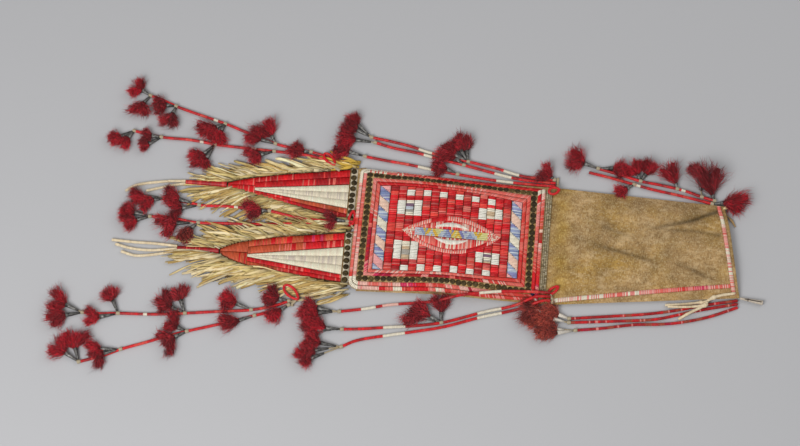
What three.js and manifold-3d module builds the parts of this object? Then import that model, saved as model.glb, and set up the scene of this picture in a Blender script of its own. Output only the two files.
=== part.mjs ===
// A quilled hide tobacco bag, laid flat on its back: the mouth towards +X, the quilled panel
// up, the two tabs towards -X, and quill-wrapped thongs with tin cones lying around it.
// Millimetres, +Z up. The origin is under the middle of the panel, on the face it rests on.
import * as THREE from "three";
import { mergeVertices } from "three/addons/utils/BufferGeometryUtils.js";
import Module from "manifold-3d";

const wasm = await Module();
wasm.setup();

// Sewing and laying
const SEWN_GAP = 0.3; // between pieces that are sewn to each other
const HIDE = 1.6; // thickness of the hide
const QUILL = 1.2; // height of a lane of folded quills
const QUILL_BEVEL = 0.4; // rounding of a lane's edges

// Pouch: a flattened sleeve of a front and a back hide, shut at the foot and open at the mouth
const POUCH_FOOT_X = -108;
const POUCH_WIDTH = 150;
const FOOT_HEIGHT = 3.2;
const FOOT_SLOPE = 12; // length over which the foot rises to the seat
const FOOT_SEAM = 4; // solid hide at the closed end
const SEAT_HEIGHT = 8; // flat top that carries the panel
const SEAT_SHARE = 0.88; // share of the width that is flat under the panel
const EDGE_HEIGHT = 3.6; // height of the folded side edges
const SWELL_HEIGHT = 14;
const MOUTH_X = 331.5;
const MOUTH_WIDTH = 116;
const MOUTH_HEIGHT = 11;
const MOUTH_SHIFT = 8; // the middle of the mouth lies this far to +Y
const MOUTH_SLANT = 25; // the -Y corner of the mouth reaches this much further
const EDGE_SHARE = 0.9; // most of a low station's height that its side edges may take
const SWELL_UP = 0.45; // share of the way to the mouth at which the swell is full
const SWELL_DOWN = 0.55; // share of the way to the mouth at which it starts to fall
const ROUND_FROM = 0.3; // share of the way to the mouth from which the section is a lens
const LENS_POWER = 2.6; // fullness of the lens
const CREASE_DEPTH = 2.4;
const CREASE_WIDTH = 9;
const MOUTH_LANE = 4.6;
const MOUTH_LANE_INSET = 4.2;
const SEAM_OUTER = -0.96; // the seam's quill lane across the pouch, whose -Y edge is at -1
const SEAM_INNER = -0.88;

// Quilled panel
const PANEL_LENGTH = 229;
const PANEL_FOOT_WIDTH = 160;
const PANEL_HEAD_WIDTH = 143;
const PANEL_CORNER = 13; // corner radius at the foot
const PANEL_HEAD_CORNER = 3;
const PANEL_X = -3; // where the panel's middle lies, off the pouch's own middle line
const PANEL_Y = 3.2;
const PANEL_TURN = -1.1; // degrees
const PANEL_MARGIN = 1; // bare hide around the quillwork
const BORDER_LANE = 4.4;
const SEQUIN_WIDTH = 7.2;
const SEQUIN_PITCH = 6.9;
const SEQUIN_WAIST = 1.2; // width left where two sequins touch
const SEQUIN_THICKNESS = 0.9;
const FRAME_LANE = 4.6;
const TRIANGLE_BAND = 11;
const TRIANGLE_RELIEF = 0.5;
const TRIANGLES = 9;
const FIELD_LANES = 15;
const EYE_LENGTH = 120;
const EYE_WIDTH = 46;
const EYE_STEP = 0.4; // rise of each nested eye shape
const EYE_RINGS = 3;
const EYE_RING_WIDTH = 5.75;
const HEAD_STRIP = 5.5; // width of the beaded strip along the panel's head

// Tabs
const TAB_LENGTH = 166;
const TAB_BASE_WIDTH = 60;
const TAB_TIP_WIDTH = 7;
const TAB_MARGIN = 1.2;
const TAB_UPPER_Y = 50;
const TAB_LOWER_Y = -36;
const TAB_SEQUIN_X = 14; // from the tab's root to its row of sequins
const TAB_LANES_X = 19; // from the tab's root to the start of its quill lanes
const WEDGE_TOP = 11; // the white wedge at its wide end, either side of the tab's middle
const WEDGE_BOTTOM = -20;
const WEDGE_SETBACK = 34; // from the tab's tip back to the wedge's tip
const WEDGE_TIP_Y = -3;
const WEDGE_TIP_WIDTH = 3;
const WEDGE_LANES = 3;
const LANE_LAP = 0.5; // neighbouring lanes lie in each other by this much
const NECK_LENGTH = 50;
const NECK_ROOT = 8;
const NECK_END = 6;

// Fringe strands
const STRANDS = 13;
const STRAND_ROOT = 0.8; // share of the header between two strands that a strand takes up
const STRAND_TIP = 2;
const UPPER_OUTER_STRAND = 60;
const UPPER_INNER_STRAND = 52;
const LOWER_OUTER_STRAND = 64;
const LOWER_INNER_STRAND = 56;
const STRAND_THICKNESS = 1.6;
const FRINGE_HEADER = 2.5;

// Thongs and what hangs on them
const THONG = 3.8;
const TIE = 2.8;
const LOOP = 4.5;
const UPPER_LOOP_REACH = 9.5; // from the panel's head to the loop sewn beside it
const LOWER_LOOP_REACH = 9;
const STEPS_PER_STRETCH = 2; // tube steps between two points of a route
const CONE_NECK = 2.4;
const CONE_MOUTH = 6;
const CORNER_CONE = 27;
const TUFT_WIDTH = 11.5;
const TUFT_ROOT = 4.8;
const TUFT_LENGTH = 24;
const TUFT_SHOULDER = 11; // the cone's mouth lies this far before the tuft's middle
const TASSEL_SIDES = 5;
const ROUND_SIDES = 10;
const KNOT_MARGIN = 0.005; // share of a thong's length that its knots stay off its ends
const FLOOR_GAP = 0.1;

// Levels
const PANEL_Z = SEAT_HEIGHT + SEWN_GAP;
const QUILL_Z = PANEL_Z + HIDE + SEWN_GAP;
const TAB_QUILL_Z = HIDE + SEWN_GAP;

// Finishes
const finish = (color, roughness, metalness = 0) =>
  new THREE.MeshStandardMaterial({ color, roughness, metalness });
const SUEDE = () => finish("#a88a5c", 0.95);
const STRAW_HIDE = () => finish("#cdb98c", 0.9);
const RED_QUILL = () => finish("#c01418", 0.45);
const SALMON_QUILL = () => finish("#e07a6c", 0.45);
const CREAM_QUILL = () => finish("#e8dfc8", 0.5);
const BLUE_QUILL = () => finish("#8c9bc8", 0.5);
const TIN = () => finish("#55534c", 0.5, 0.8);
const SEQUIN_METAL = () => finish("#4b3c19", 0.4, 0.8);
const TUFT_HAIR = () => finish("#82101e", 0.8);

const bag = new THREE.Group();
const v2 = (x, y) => new THREE.Vector2(x, y);
const v3 = (x, y, z) => new THREE.Vector3(x, y, z);
const { lerp, smoothstep, clamp, degToRad } = THREE.MathUtils;

// Adds a named piece to a group.
function piece(name, geometry, material, group = bag) {
  const mesh = new THREE.Mesh(geometry, material);
  mesh.name = name;
  group.add(mesh);
  return mesh;
}

// Solids that can be joined and cut
function solidOf(geometry) {
  const bare = geometry.clone();
  bare.deleteAttribute("normal");
  bare.deleteAttribute("uv");
  const merged = mergeVertices(bare, 1e-4);
  const vertProperties = new Float32Array(merged.attributes.position.array);
  const triVerts = new Uint32Array(merged.index.array);
  return new wasm.Manifold(new wasm.Mesh({ numProp: 3, vertProperties, triVerts }));
}

function geometryOf(solid) {
  const { vertProperties, triVerts } = solid.getMesh();
  const geometry = new THREE.BufferGeometry();
  geometry.setAttribute("position", new THREE.BufferAttribute(vertProperties, 3));
  geometry.setIndex(new THREE.BufferAttribute(triVerts, 1));
  return geometry;
}

const join = (geometries) => geometryOf(wasm.Manifold.union(geometries.map(solidOf)));

// Closed skin through rings of equal counts, with both end rings filled in, facing outwards.
function loft(rings) {
  const count = rings[0].length;
  const points = rings.flat();
  const faces = [];
  for (let ring = 0; ring + 1 < rings.length; ring++) {
    for (let i = 0; i < count; i++) {
      const a = ring * count + i;
      const b = ring * count + ((i + 1) % count);
      faces.push([a, b, a + count], [b, b + count, a + count]);
    }
  }
  const lastRing = (rings.length - 1) * count;
  for (const [start, turn] of [[0, false], [lastRing, true]]) {
    const middle = v3(0, 0, 0);
    for (let i = 0; i < count; i++) middle.addScaledVector(points[start + i], 1 / count);
    const hub = points.push(middle) - 1;
    for (let i = 0; i < count; i++) {
      const a = start + i;
      const b = start + ((i + 1) % count);
      faces.push(turn ? [hub, a, b] : [hub, b, a]);
    }
  }
  let volume = 0;
  for (const [a, b, c] of faces) {
    volume += points[a].dot(points[b].clone().cross(points[c]));
  }
  const outward = volume > 0 ? faces : faces.map(([a, b, c]) => [a, c, b]);
  const geometry = new THREE.BufferGeometry().setFromPoints(points);
  geometry.setIndex(outward.flat());
  return geometry;
}

// Flat plate of a plan outline, from z upwards.
function plate(outline, z, height) {
  const geometry = new THREE.ExtrudeGeometry(outline, {
    depth: height,
    bevelEnabled: false,
    curveSegments: 5,
  });
  return geometry.translate(0, 0, z);
}

// Lane of folded quills: a plate with rounded upper and lower edges inside the given outline.
function lane(outline, z) {
  const geometry = new THREE.ExtrudeGeometry(outline, {
    depth: QUILL - 2 * QUILL_BEVEL,
    bevelThickness: QUILL_BEVEL,
    bevelSize: QUILL_BEVEL,
    bevelOffset: -QUILL_BEVEL,
    bevelSegments: 1,
    curveSegments: 3,
  });
  return geometry.translate(0, 0, z + QUILL_BEVEL);
}

const polygon = (...corners) => new THREE.Shape(corners.map(([x, y]) => v2(x, y)));

// Hide pouch

const panelHeadX = PANEL_LENGTH / 2;
const swellStart = panelHeadX + HEAD_STRIP + 3 * SEWN_GAP;
const swellLength = MOUTH_X - swellStart;

// Plan point of the pouch: the x of its middle there, the share of the way to the mouth, and
// the place across it, from its -Y edge at -1 to its +Y edge at 1.
function pouchPlan(x, share, across, inset = 0) {
  const half = lerp(POUCH_WIDTH, MOUTH_WIDTH, share) / 2 - 2 * inset;
  const slant = (across * MOUTH_SLANT * share) / 2;
  return v3(x - slant, MOUTH_SHIFT * share + across * half, 0);
}

// Soft creases in the loose upper part: both ends as the share of the way to the mouth and the
// place across the pouch
const CREASES = [
  [[0.98, 0.928], [0.69, 0.482]],
  [[0.69, 0.482], [0.953, 0.31]],
  [[0.2, 0.285], [0.773, -0.263]],
];
const creaseLines = CREASES.map((ends) => {
  const [from, to] = ends.map(([share, across]) =>
    pouchPlan(swellStart + share * swellLength, share, across));
  return new THREE.Line3(from, to);
});

function creaseDip(point) {
  let dip = 0;
  for (const line of creaseLines) {
    const distance = line.closestPointToPoint(point, true, v3(0, 0, 0)).distanceTo(point);
    dip = Math.max(dip, CREASE_DEPTH * Math.exp(-((distance / CREASE_WIDTH) ** 2)));
  }
  return dip;
}

// Stations along the pouch: x at the middle, share of the way to the mouth, and height.
function swellStation(share) {
  const rise = smoothstep(share, 0, SWELL_UP) * (SWELL_HEIGHT - SEAT_HEIGHT);
  const fall = smoothstep(share, SWELL_DOWN, 1) * (SWELL_HEIGHT - MOUTH_HEIGHT);
  return { x: swellStart + share * swellLength, share, height: SEAT_HEIGHT + rise - fall };
}

const laneOuterShare = 1 - MOUTH_LANE_INSET / swellLength;
const laneInnerShare = 1 - (MOUTH_LANE_INSET + MOUTH_LANE) / swellLength;
const swellShares = [0, 0.1, 0.2, 0.3, 0.4, 0.5, 0.6, 0.7, 0.8, 0.89];
const swell = [...swellShares, laneInnerShare, laneOuterShare, 1].map(swellStation);
const seatStation = { x: POUCH_FOOT_X + FOOT_SLOPE, share: 0, height: SEAT_HEIGHT };
const footStation = { x: POUCH_FOOT_X, share: 0, height: FOOT_HEIGHT };
const seamStation = {
  x: POUCH_FOOT_X + FOOT_SEAM,
  share: 0,
  height: lerp(FOOT_HEIGHT, SEAT_HEIGHT, FOOT_SEAM / FOOT_SLOPE),
};

// Places across the pouch
const HALF_ACROSS = [0.155, 0.31, 0.47, 0.62, 0.76, -SEAM_INNER, -SEAM_OUTER, 1];
const ACROSS = [...HALF_ACROSS.map((v) => -v).reverse(), 0, ...HALF_ACROSS];
const UNDER = [1, 0.5, 0, -0.5, -1];

// Point on the pouch's upper skin, or on its lining when inset by the hide's thickness.
function pouchTop(station, across, inset = 0) {
  const { x, share, height } = station;
  const point = pouchPlan(x, share, across, inset);
  const edge = Math.min(EDGE_HEIGHT, EDGE_SHARE * height);
  const seat = clamp((1 - Math.abs(across)) / (1 - SEAT_SHARE), 0, 1);
  const lens = 1 - Math.abs(across) ** LENS_POWER;
  const crown = lerp(seat, lens, smoothstep(share, 0, ROUND_FROM));
  const dip = creaseDip(point) * crown;
  return point.setZ(edge + (height - edge) * crown - dip - inset);
}

function pouchRing(station, inset = 0) {
  const top = ACROSS.map((across) => pouchTop(station, across, inset));
  const under = UNDER.map((across) => pouchTop(station, across, inset).setZ(inset));
  return [...top, ...under];
}

// The back hide lies flat, and the front hide arches over it from edge to edge.
function pouchBack() {
  const ends = [footStation, swell[0], swell.at(-1)];
  const side = (across) => ends.map(({ x, share }) => pouchPlan(x, share, across).toArray());
  return plate(polygon(...side(-1), ...side(1).reverse()), 0, HIDE);
}

function pouchFront() {
  const outside = [footStation, seatStation, ...swell].map((s) => pouchRing(s));
  const inside = [seamStation, seatStation, ...swell].map((s) => pouchRing(s, HIDE));
  const sleeve = solidOf(loft([...outside, ...inside.reverse()]));
  const low = POUCH_FOOT_X - POUCH_WIDTH;
  const high = MOUTH_X + POUCH_WIDTH;
  const ground = polygon(
    [low, -POUCH_WIDTH], [high, -POUCH_WIDTH], [high, POUCH_WIDTH], [low, POUCH_WIDTH]);
  const backRoom = solidOf(plate(ground, -HIDE, 2 * HIDE + SEWN_GAP));
  return geometryOf(sleeve.subtract(backRoom));
}

// Section of a quill lane that lies on the pouch between two of its points.
function laneSection(a, b) {
  const low = SEWN_GAP;
  const high = SEWN_GAP + QUILL;
  return [[a, low], [a, high], [b, high], [b, low]].map(([p, z]) => v3(p.x, p.y, p.z + z));
}

function mouthLane() {
  const [inner, outer] = swell.slice(-3, -1);
  const places = ACROSS.filter((v) => v >= SEAM_INNER && v < 1);
  return loft(places.map((v) => laneSection(pouchTop(inner, v), pouchTop(outer, v))));
}

function seamLane() {
  const stations = swell.slice(1, -3);
  const section = (s) => laneSection(pouchTop(s, SEAM_OUTER), pouchTop(s, SEAM_INNER));
  return loft(stations.map(section));
}

piece("pouch_front", pouchFront(), SUEDE());
piece("pouch_back", pouchBack(), SUEDE());
piece("mouth_quill_lane", mouthLane(), SALMON_QUILL());
piece("seam_quill_lane", seamLane(), SALMON_QUILL());

// Quilled panel: made about its own middle, and laid on the pouch a little askew

const panelHalf = (x) => {
  const share = (x + PANEL_LENGTH / 2) / PANEL_LENGTH;
  return lerp(PANEL_FOOT_WIDTH, PANEL_HEAD_WIDTH, share) / 2;
};

// The panel's outline drawn in by an inset, with round corners.
function panelOutline(inset, Path = THREE.Shape) {
  const foot = -PANEL_LENGTH / 2 + inset;
  const head = PANEL_LENGTH / 2 - inset;
  const footHalf = panelHalf(foot) - inset;
  const headHalf = panelHalf(head) - inset;
  const footRound = Math.max(PANEL_CORNER - inset, 1);
  const headRound = Math.max(PANEL_HEAD_CORNER - inset, 1);
  const outline = new Path();
  outline.moveTo(foot, footHalf - footRound);
  outline.lineTo(foot, footRound - footHalf);
  outline.quadraticCurveTo(foot, -footHalf, foot + footRound, -footHalf);
  outline.lineTo(head - headRound, -headHalf);
  outline.quadraticCurveTo(head, -headHalf, head, headRound - headHalf);
  outline.lineTo(head, headHalf - headRound);
  outline.quadraticCurveTo(head, headHalf, head - headRound, headHalf);
  outline.lineTo(foot + footRound, footHalf);
  outline.quadraticCurveTo(foot, footHalf, foot, footHalf - footRound);
  return outline;
}

function ringOutline(inset, width) {
  const outline = panelOutline(inset);
  outline.holes.push(panelOutline(inset + width, THREE.Path));
  return outline;
}

// Row of six-sided sequins, from the middle of its first one to the middle of its last one.
function sequinRow(from, to, z) {
  const length = from.distanceTo(to);
  const steps = Math.round(length / SEQUIN_PITCH);
  const pitch = length / steps;
  const along = to.clone().sub(from).normalize();
  const out = v2(-along.y, along.x);
  const radius = SEQUIN_WIDTH / 2;
  const flat = radius * Math.cos(Math.PI / 6);
  const profile = [];
  for (let i = 0; i <= steps; i++) {
    const middle = i * pitch;
    profile.push([middle - pitch / 2, SEQUIN_WAIST / 2]);
    profile.push([middle - radius / 2, flat], [middle + radius / 2, flat]);
  }
  profile.push([length + pitch / 2, SEQUIN_WAIST / 2]);
  const corner = (distance, across) =>
    from.clone().addScaledVector(along, distance).addScaledVector(out, across);
  const rightSide = profile.map(([distance, across]) => corner(distance, -across));
  const leftSide = profile.map(([distance, across]) => corner(distance, across));
  const outline = new THREE.Shape([...rightSide, ...leftSide.reverse()]);
  return plate(outline, z, SEQUIN_THICKNESS);
}

const borderOuterInset = PANEL_MARGIN;
const borderInnerInset = borderOuterInset + BORDER_LANE + SEWN_GAP;
const sequinInset = borderInnerInset + BORDER_LANE + SEWN_GAP;
const frameOuterInset = sequinInset + SEQUIN_WIDTH + SEWN_GAP;
const frameInnerInset = frameOuterInset + FRAME_LANE + SEWN_GAP;
const fieldInset = frameInnerInset + FRAME_LANE + SEWN_GAP;

// Four rows of sequins that share the ones at their corners
function sequinFrame() {
  const inset = sequinInset + SEQUIN_WIDTH / 2;
  const foot = -PANEL_LENGTH / 2 + inset;
  const head = PANEL_LENGTH / 2 - inset;
  const footHalf = panelHalf(foot) - inset;
  const headHalf = panelHalf(head) - inset;
  const corners = [v2(foot, -footHalf), v2(head, -headHalf), v2(head, headHalf), v2(foot, footHalf)];
  return join(corners.map((from, i) => sequinRow(from, corners[(i + 1) % 4], QUILL_Z)));
}

const fieldFoot = -PANEL_LENGTH / 2 + fieldInset;
const fieldHead = PANEL_LENGTH / 2 - fieldInset;
const fieldHalf = (x) => panelHalf(x) - fieldInset;

// Outline of the stretch of the field between two places along the panel.
function fieldOutline(from, to) {
  const a = fieldHalf(from);
  const b = fieldHalf(to);
  return polygon([from, -a], [to, -b], [to, b], [from, a]);
}

// Band of triangles across an end of the field: raised triangles on a flat band, sized to fit
// the narrower of its two edges.
function triangleBand(base, tip) {
  const [from, to] = base < tip ? [base, tip] : [tip, base];
  const flat = QUILL - TRIANGLE_RELIEF;
  const parts = [plate(fieldOutline(from, to), QUILL_Z, flat)];
  const half = fieldHalf(Math.max(base, tip));
  const width = (2 * half) / TRIANGLES;
  for (let i = 0; i < TRIANGLES; i++) {
    const y = -half + i * width;
    const corners = [
      [base, y + SEWN_GAP / 2], [base, y + width - SEWN_GAP / 2], [tip, y + width / 2],
    ];
    const turn = base < tip ? corners.reverse() : corners;
    parts.push(plate(polygon(...turn), QUILL_Z + flat / 2, QUILL - flat / 2));
  }
  return join(parts);
}

// Eye-shaped outline about the field's middle, grown or shrunk by a margin.
function eyeOutline(margin) {
  const length = EYE_LENGTH / 2 + margin * (EYE_LENGTH / EYE_WIDTH);
  const width = EYE_WIDTH + 2 * margin;
  const eye = new THREE.Shape();
  eye.moveTo(-length, 0);
  eye.quadraticCurveTo(0, -width, length, 0);
  eye.quadraticCurveTo(0, width, -length, 0);
  return eye;
}

function eyeLozenge() {
  const rings = [];
  for (let ring = 0; ring < EYE_RINGS; ring++) {
    const height = QUILL - (EYE_RINGS - 1 - ring) * EYE_STEP;
    rings.push(plate(eyeOutline(-ring * EYE_RING_WIDTH), QUILL_Z, height));
  }
  return join(rings);
}

// Lanes of folded quills running across the bag, with the eye left out.
function fieldQuills() {
  const from = fieldFoot + TRIANGLE_BAND + SEWN_GAP;
  const to = fieldHead - TRIANGLE_BAND - SEWN_GAP;
  const width = (to - from) / FIELD_LANES;
  const groove = QUILL / 2;
  const shoulder = width / 6;
  const profile = [[to, 0], [to, groove]];
  for (let i = FIELD_LANES - 1; i >= 0; i--) {
    const start = from + i * width;
    profile.push([start + width - shoulder, QUILL], [start + shoulder, QUILL], [start, groove]);
  }
  profile.push([from, 0]);
  const span = 2 * fieldHalf(from);
  const ridges = new THREE.ExtrudeGeometry(polygon(...profile.reverse()), {
    depth: span,
    bevelEnabled: false,
  });
  ridges.rotateX(Math.PI / 2).translate(0, span / 2, QUILL_Z);
  const outline = solidOf(plate(fieldOutline(from, to), QUILL_Z - QUILL, 3 * QUILL));
  const eye = solidOf(plate(eyeOutline(SEWN_GAP), QUILL_Z - QUILL, 3 * QUILL));
  return geometryOf(solidOf(ridges).intersect(outline).subtract(eye));
}

function headStrip() {
  const strip = new THREE.BoxGeometry(HEAD_STRIP, PANEL_HEAD_WIDTH, QUILL);
  const x = panelHeadX + SEWN_GAP + HEAD_STRIP / 2;
  return strip.translate(x, 0, PANEL_Z + QUILL / 2);
}

const panel = new THREE.Group();
panel.position.set(PANEL_X, PANEL_Y, 0);
panel.rotation.z = degToRad(PANEL_TURN);
bag.add(panel);
const ringLane = (inset, width) => lane(ringOutline(inset, width), QUILL_Z);
piece("panel_hide", plate(panelOutline(0), PANEL_Z, HIDE), SUEDE(), panel);
piece("border_lane_outer", ringLane(borderOuterInset, BORDER_LANE), SALMON_QUILL(), panel);
piece("border_lane_inner", ringLane(borderInnerInset, BORDER_LANE), RED_QUILL(), panel);
piece("panel_sequins", sequinFrame(), SEQUIN_METAL(), panel);
piece("frame_lane_outer", ringLane(frameOuterInset, FRAME_LANE), SALMON_QUILL(), panel);
piece("frame_lane_inner", ringLane(frameInnerInset, FRAME_LANE), RED_QUILL(), panel);
piece("triangle_band_foot", triangleBand(fieldFoot, fieldFoot + TRIANGLE_BAND), BLUE_QUILL(), panel);
piece("triangle_band_head", triangleBand(fieldHead, fieldHead - TRIANGLE_BAND), BLUE_QUILL(), panel);
piece("field_quills", fieldQuills(), RED_QUILL(), panel);
piece("eye_lozenge", eyeLozenge(), CREAM_QUILL(), panel);
piece("head_strip", headStrip(), STRAW_HIDE(), panel);

// Tabs: made once along -X from the root at the pouch's foot, and placed twice

const tabHalf = (along) => lerp(TAB_BASE_WIDTH, TAB_TIP_WIDTH, along / TAB_LENGTH) / 2;

function tabHide() {
  const base = TAB_BASE_WIDTH / 2;
  const tip = TAB_TIP_WIDTH / 2;
  return plate(
    polygon([0, base], [-TAB_LENGTH, tip], [-TAB_LENGTH, -tip], [0, -base]), 0, HIDE);
}

// Lanes side by side between two lines, each a pair of [along, y] points from base to end.
function laneSheaf(top, bottom, count) {
  const edgeOf = (end, share, lap) => {
    const [x, y] = top[end];
    return [-x, lerp(y, bottom[end][1], share) + lap];
  };
  const lanes = [];
  for (let i = 0; i < count; i++) {
    const above = i / count;
    const below = (i + 1) / count;
    const lap = LANE_LAP / 2;
    const corners = [
      edgeOf(0, above, lap), edgeOf(1, above, lap), edgeOf(1, below, -lap), edgeOf(0, below, -lap),
    ];
    lanes.push(lane(polygon(...corners), TAB_QUILL_Z));
  }
  return join(lanes);
}

const laneEnd = TAB_LENGTH - TAB_MARGIN;
const wedgeTipX = TAB_LENGTH - WEDGE_SETBACK;
const seamBetween = (SEWN_GAP + LANE_LAP) / 2;
const wedgeTipHalf = WEDGE_TIP_WIDTH / 2;
const wedgeTop = [[TAB_LANES_X, WEDGE_TOP], [wedgeTipX, WEDGE_TIP_Y + wedgeTipHalf]];
const wedgeBottom = [[TAB_LANES_X, WEDGE_BOTTOM], [wedgeTipX, WEDGE_TIP_Y - wedgeTipHalf]];
const tabEdge = (along) => tabHalf(along) - TAB_MARGIN - LANE_LAP / 2;

// Red lanes beside the wedge, joined to the two that close over its tip.
function outerRedLanes() {
  const end = wedgeTipX + SEWN_GAP + LANE_LAP;
  const top = [[TAB_LANES_X, tabEdge(TAB_LANES_X)], [end, tabEdge(end)]];
  const wedgeSide = wedgeTop.map(([x, y]) => [x, y + seamBetween + LANE_LAP / 2]);
  const bottom = [wedgeSide[0], [end, wedgeSide[1][1]]];
  return join([laneSheaf(top, bottom, 2), tipLanes()]);
}

function tipLanes() {
  const from = wedgeTipX + SEWN_GAP;
  const top = [[from, tabEdge(from)], [laneEnd, tabEdge(laneEnd)]];
  const bottom = top.map(([x, y]) => [x, -y]);
  return laneSheaf(top, bottom, 2);
}

function innerRedLane() {
  const top = wedgeBottom.map(([x, y]) => [x, y - seamBetween - LANE_LAP / 2]);
  const bottom = [[TAB_LANES_X, -tabEdge(TAB_LANES_X)], [wedgeTipX, -tabEdge(wedgeTipX)]];
  return laneSheaf(top, bottom, 1);
}

function tabSequins() {
  const half = tabHalf(TAB_SEQUIN_X) - TAB_MARGIN - SEQUIN_WIDTH / 2;
  return sequinRow(v2(-TAB_SEQUIN_X, -half), v2(-TAB_SEQUIN_X, half), TAB_QUILL_Z);
}

// Round solid of a profile of [radius, along] points, from a point in a direction.
function turned(profile, from, direction, sides) {
  const solid = new THREE.LatheGeometry(profile.map(([r, along]) => v2(r, along)), sides);
  const turn = new THREE.Quaternion().setFromUnitVectors(v3(0, 1, 0), direction);
  return solid.applyQuaternion(turn).translate(from.x, from.y, from.z);
}

function neckWrap() {
  const profile = [[0, 0], [NECK_ROOT / 2, 0], [NECK_END / 2, NECK_LENGTH], [0, NECK_LENGTH]];
  const from = v3(-TAB_LENGTH - SEWN_GAP, 0, NECK_ROOT / 2 + FLOOR_GAP);
  return turned(profile, from, v3(-1, 0, 0), ROUND_SIDES);
}

// One long edge's fringe: a header along the edge, cut into strands that splay outwards.
function fringe(side, strandLength, splayEnds, splaySwell) {
  const root = (along, out) => v2(-along, side * (tabHalf(along) + SEWN_GAP + out));
  const start = TAB_SEQUIN_X / 2;
  const onHeader = (share) => root(lerp(start, TAB_LENGTH, share), FRINGE_HEADER);
  const edge = onHeader(1).sub(onHeader(0)).angle();
  const outline = [root(TAB_LENGTH, 0), root(start, 0)];
  for (let i = 0; i < STRANDS; i++) {
    const near = onHeader(i / STRANDS);
    const far = onHeader((i + STRAND_ROOT) / STRANDS);
    const splay = degToRad(splayEnds + splaySwell * Math.sin((Math.PI * i) / STRANDS));
    const heading = edge - side * splay;
    const reach = v2(Math.cos(heading), Math.sin(heading)).multiplyScalar(strandLength);
    const across = v2(-reach.y, reach.x).setLength((side * STRAND_TIP) / 2);
    const tip = near.clone().lerp(far, 0.5).add(reach);
    outline.push(near, tip.clone().sub(across), tip.clone().add(across), far);
  }
  const turn = side > 0 ? outline.reverse() : outline;
  return plate(new THREE.Shape(turn), FLOOR_GAP, STRAND_THICKNESS);
}

// Fringe of each tab: side, strand length, splay at the ends and extra splay in the middle
const FRINGES = {
  upper_tab: { outer: [1, UPPER_OUTER_STRAND, 20, 5], inner: [-1, UPPER_INNER_STRAND, 11, 2] },
  lower_tab: { outer: [-1, LOWER_OUTER_STRAND, 31, 10], inner: [1, LOWER_INNER_STRAND, 20, 10] },
};
const TAB_PLACES = { upper_tab: TAB_UPPER_Y, lower_tab: TAB_LOWER_Y };

for (const [name, y] of Object.entries(TAB_PLACES)) {
  const tab = new THREE.Group();
  tab.position.set(POUCH_FOOT_X - SEWN_GAP, y, 0);
  bag.add(tab);
  piece(`${name}_hide`, tabHide(), SUEDE(), tab);
  piece(`${name}_outer_lanes`, outerRedLanes(), RED_QUILL(), tab);
  piece(`${name}_inner_lane`, innerRedLane(), RED_QUILL(), tab);
  piece(`${name}_wedge`, laneSheaf(wedgeTop, wedgeBottom, WEDGE_LANES), CREAM_QUILL(), tab);
  piece(`${name}_sequins`, tabSequins(), SEQUIN_METAL(), tab);
  piece(`${name}_neck`, neckWrap(), RED_QUILL(), tab);
  for (const [edge, values] of Object.entries(FRINGES[name])) {
    piece(`${name}_${edge}_fringe`, fringe(...values), STRAW_HIDE(), tab);
  }
}

// Thongs. A route is a list of [x, y] or [x, y, height of the underside above the floor].
function routeOf(points, diameter) {
  const centre = diameter / 2 + FLOOR_GAP;
  const line = points.map(([x, y, lift = 0]) => v3(x, y, lift + centre));
  return new THREE.CatmullRomCurve3(line, false, "centripetal");
}

function cord(route, diameter) {
  const section = new THREE.Shape().absarc(0, 0, diameter / 2, 0, 2 * Math.PI);
  const steps = STEPS_PER_STRETCH * (route.points.length - 1);
  return new THREE.ExtrudeGeometry(section, { steps, extrudePath: route, curveSegments: 4 });
}

// Tin cone with a tuft of dyed hair, from a knot on the thong, in a plan heading in degrees.
function tassel(knot, heading, reach, lift = 0) {
  const mouth = reach - TUFT_SHOULDER;
  const profile = [
    [0, 0],
    [CONE_NECK / 2, 0],
    [CONE_MOUTH / 2, mouth],
    [TUFT_ROOT / 2, mouth],
    [TUFT_WIDTH / 2, reach],
    [0, reach + TUFT_LENGTH / 2],
  ];
  const angle = degToRad(heading);
  const rise = TUFT_WIDTH / 2 + FLOOR_GAP + lift - knot.z;
  const direction = v3(Math.cos(angle) * reach, Math.sin(angle) * reach, rise).normalize();
  return turned(profile, knot, direction, TASSEL_SIDES);
}

function pendant(points, tassels) {
  const route = routeOf(points, THONG);
  const length = route.getLength();
  const parts = [cord(route, THONG)];
  for (const [distance, arms] of tassels) {
    const knot = route.getPointAt(clamp(distance / length, KNOT_MARGIN, 1 - KNOT_MARGIN));
    for (const arm of arms) parts.push(tassel(knot, ...arm));
  }
  return join(parts);
}

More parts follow.
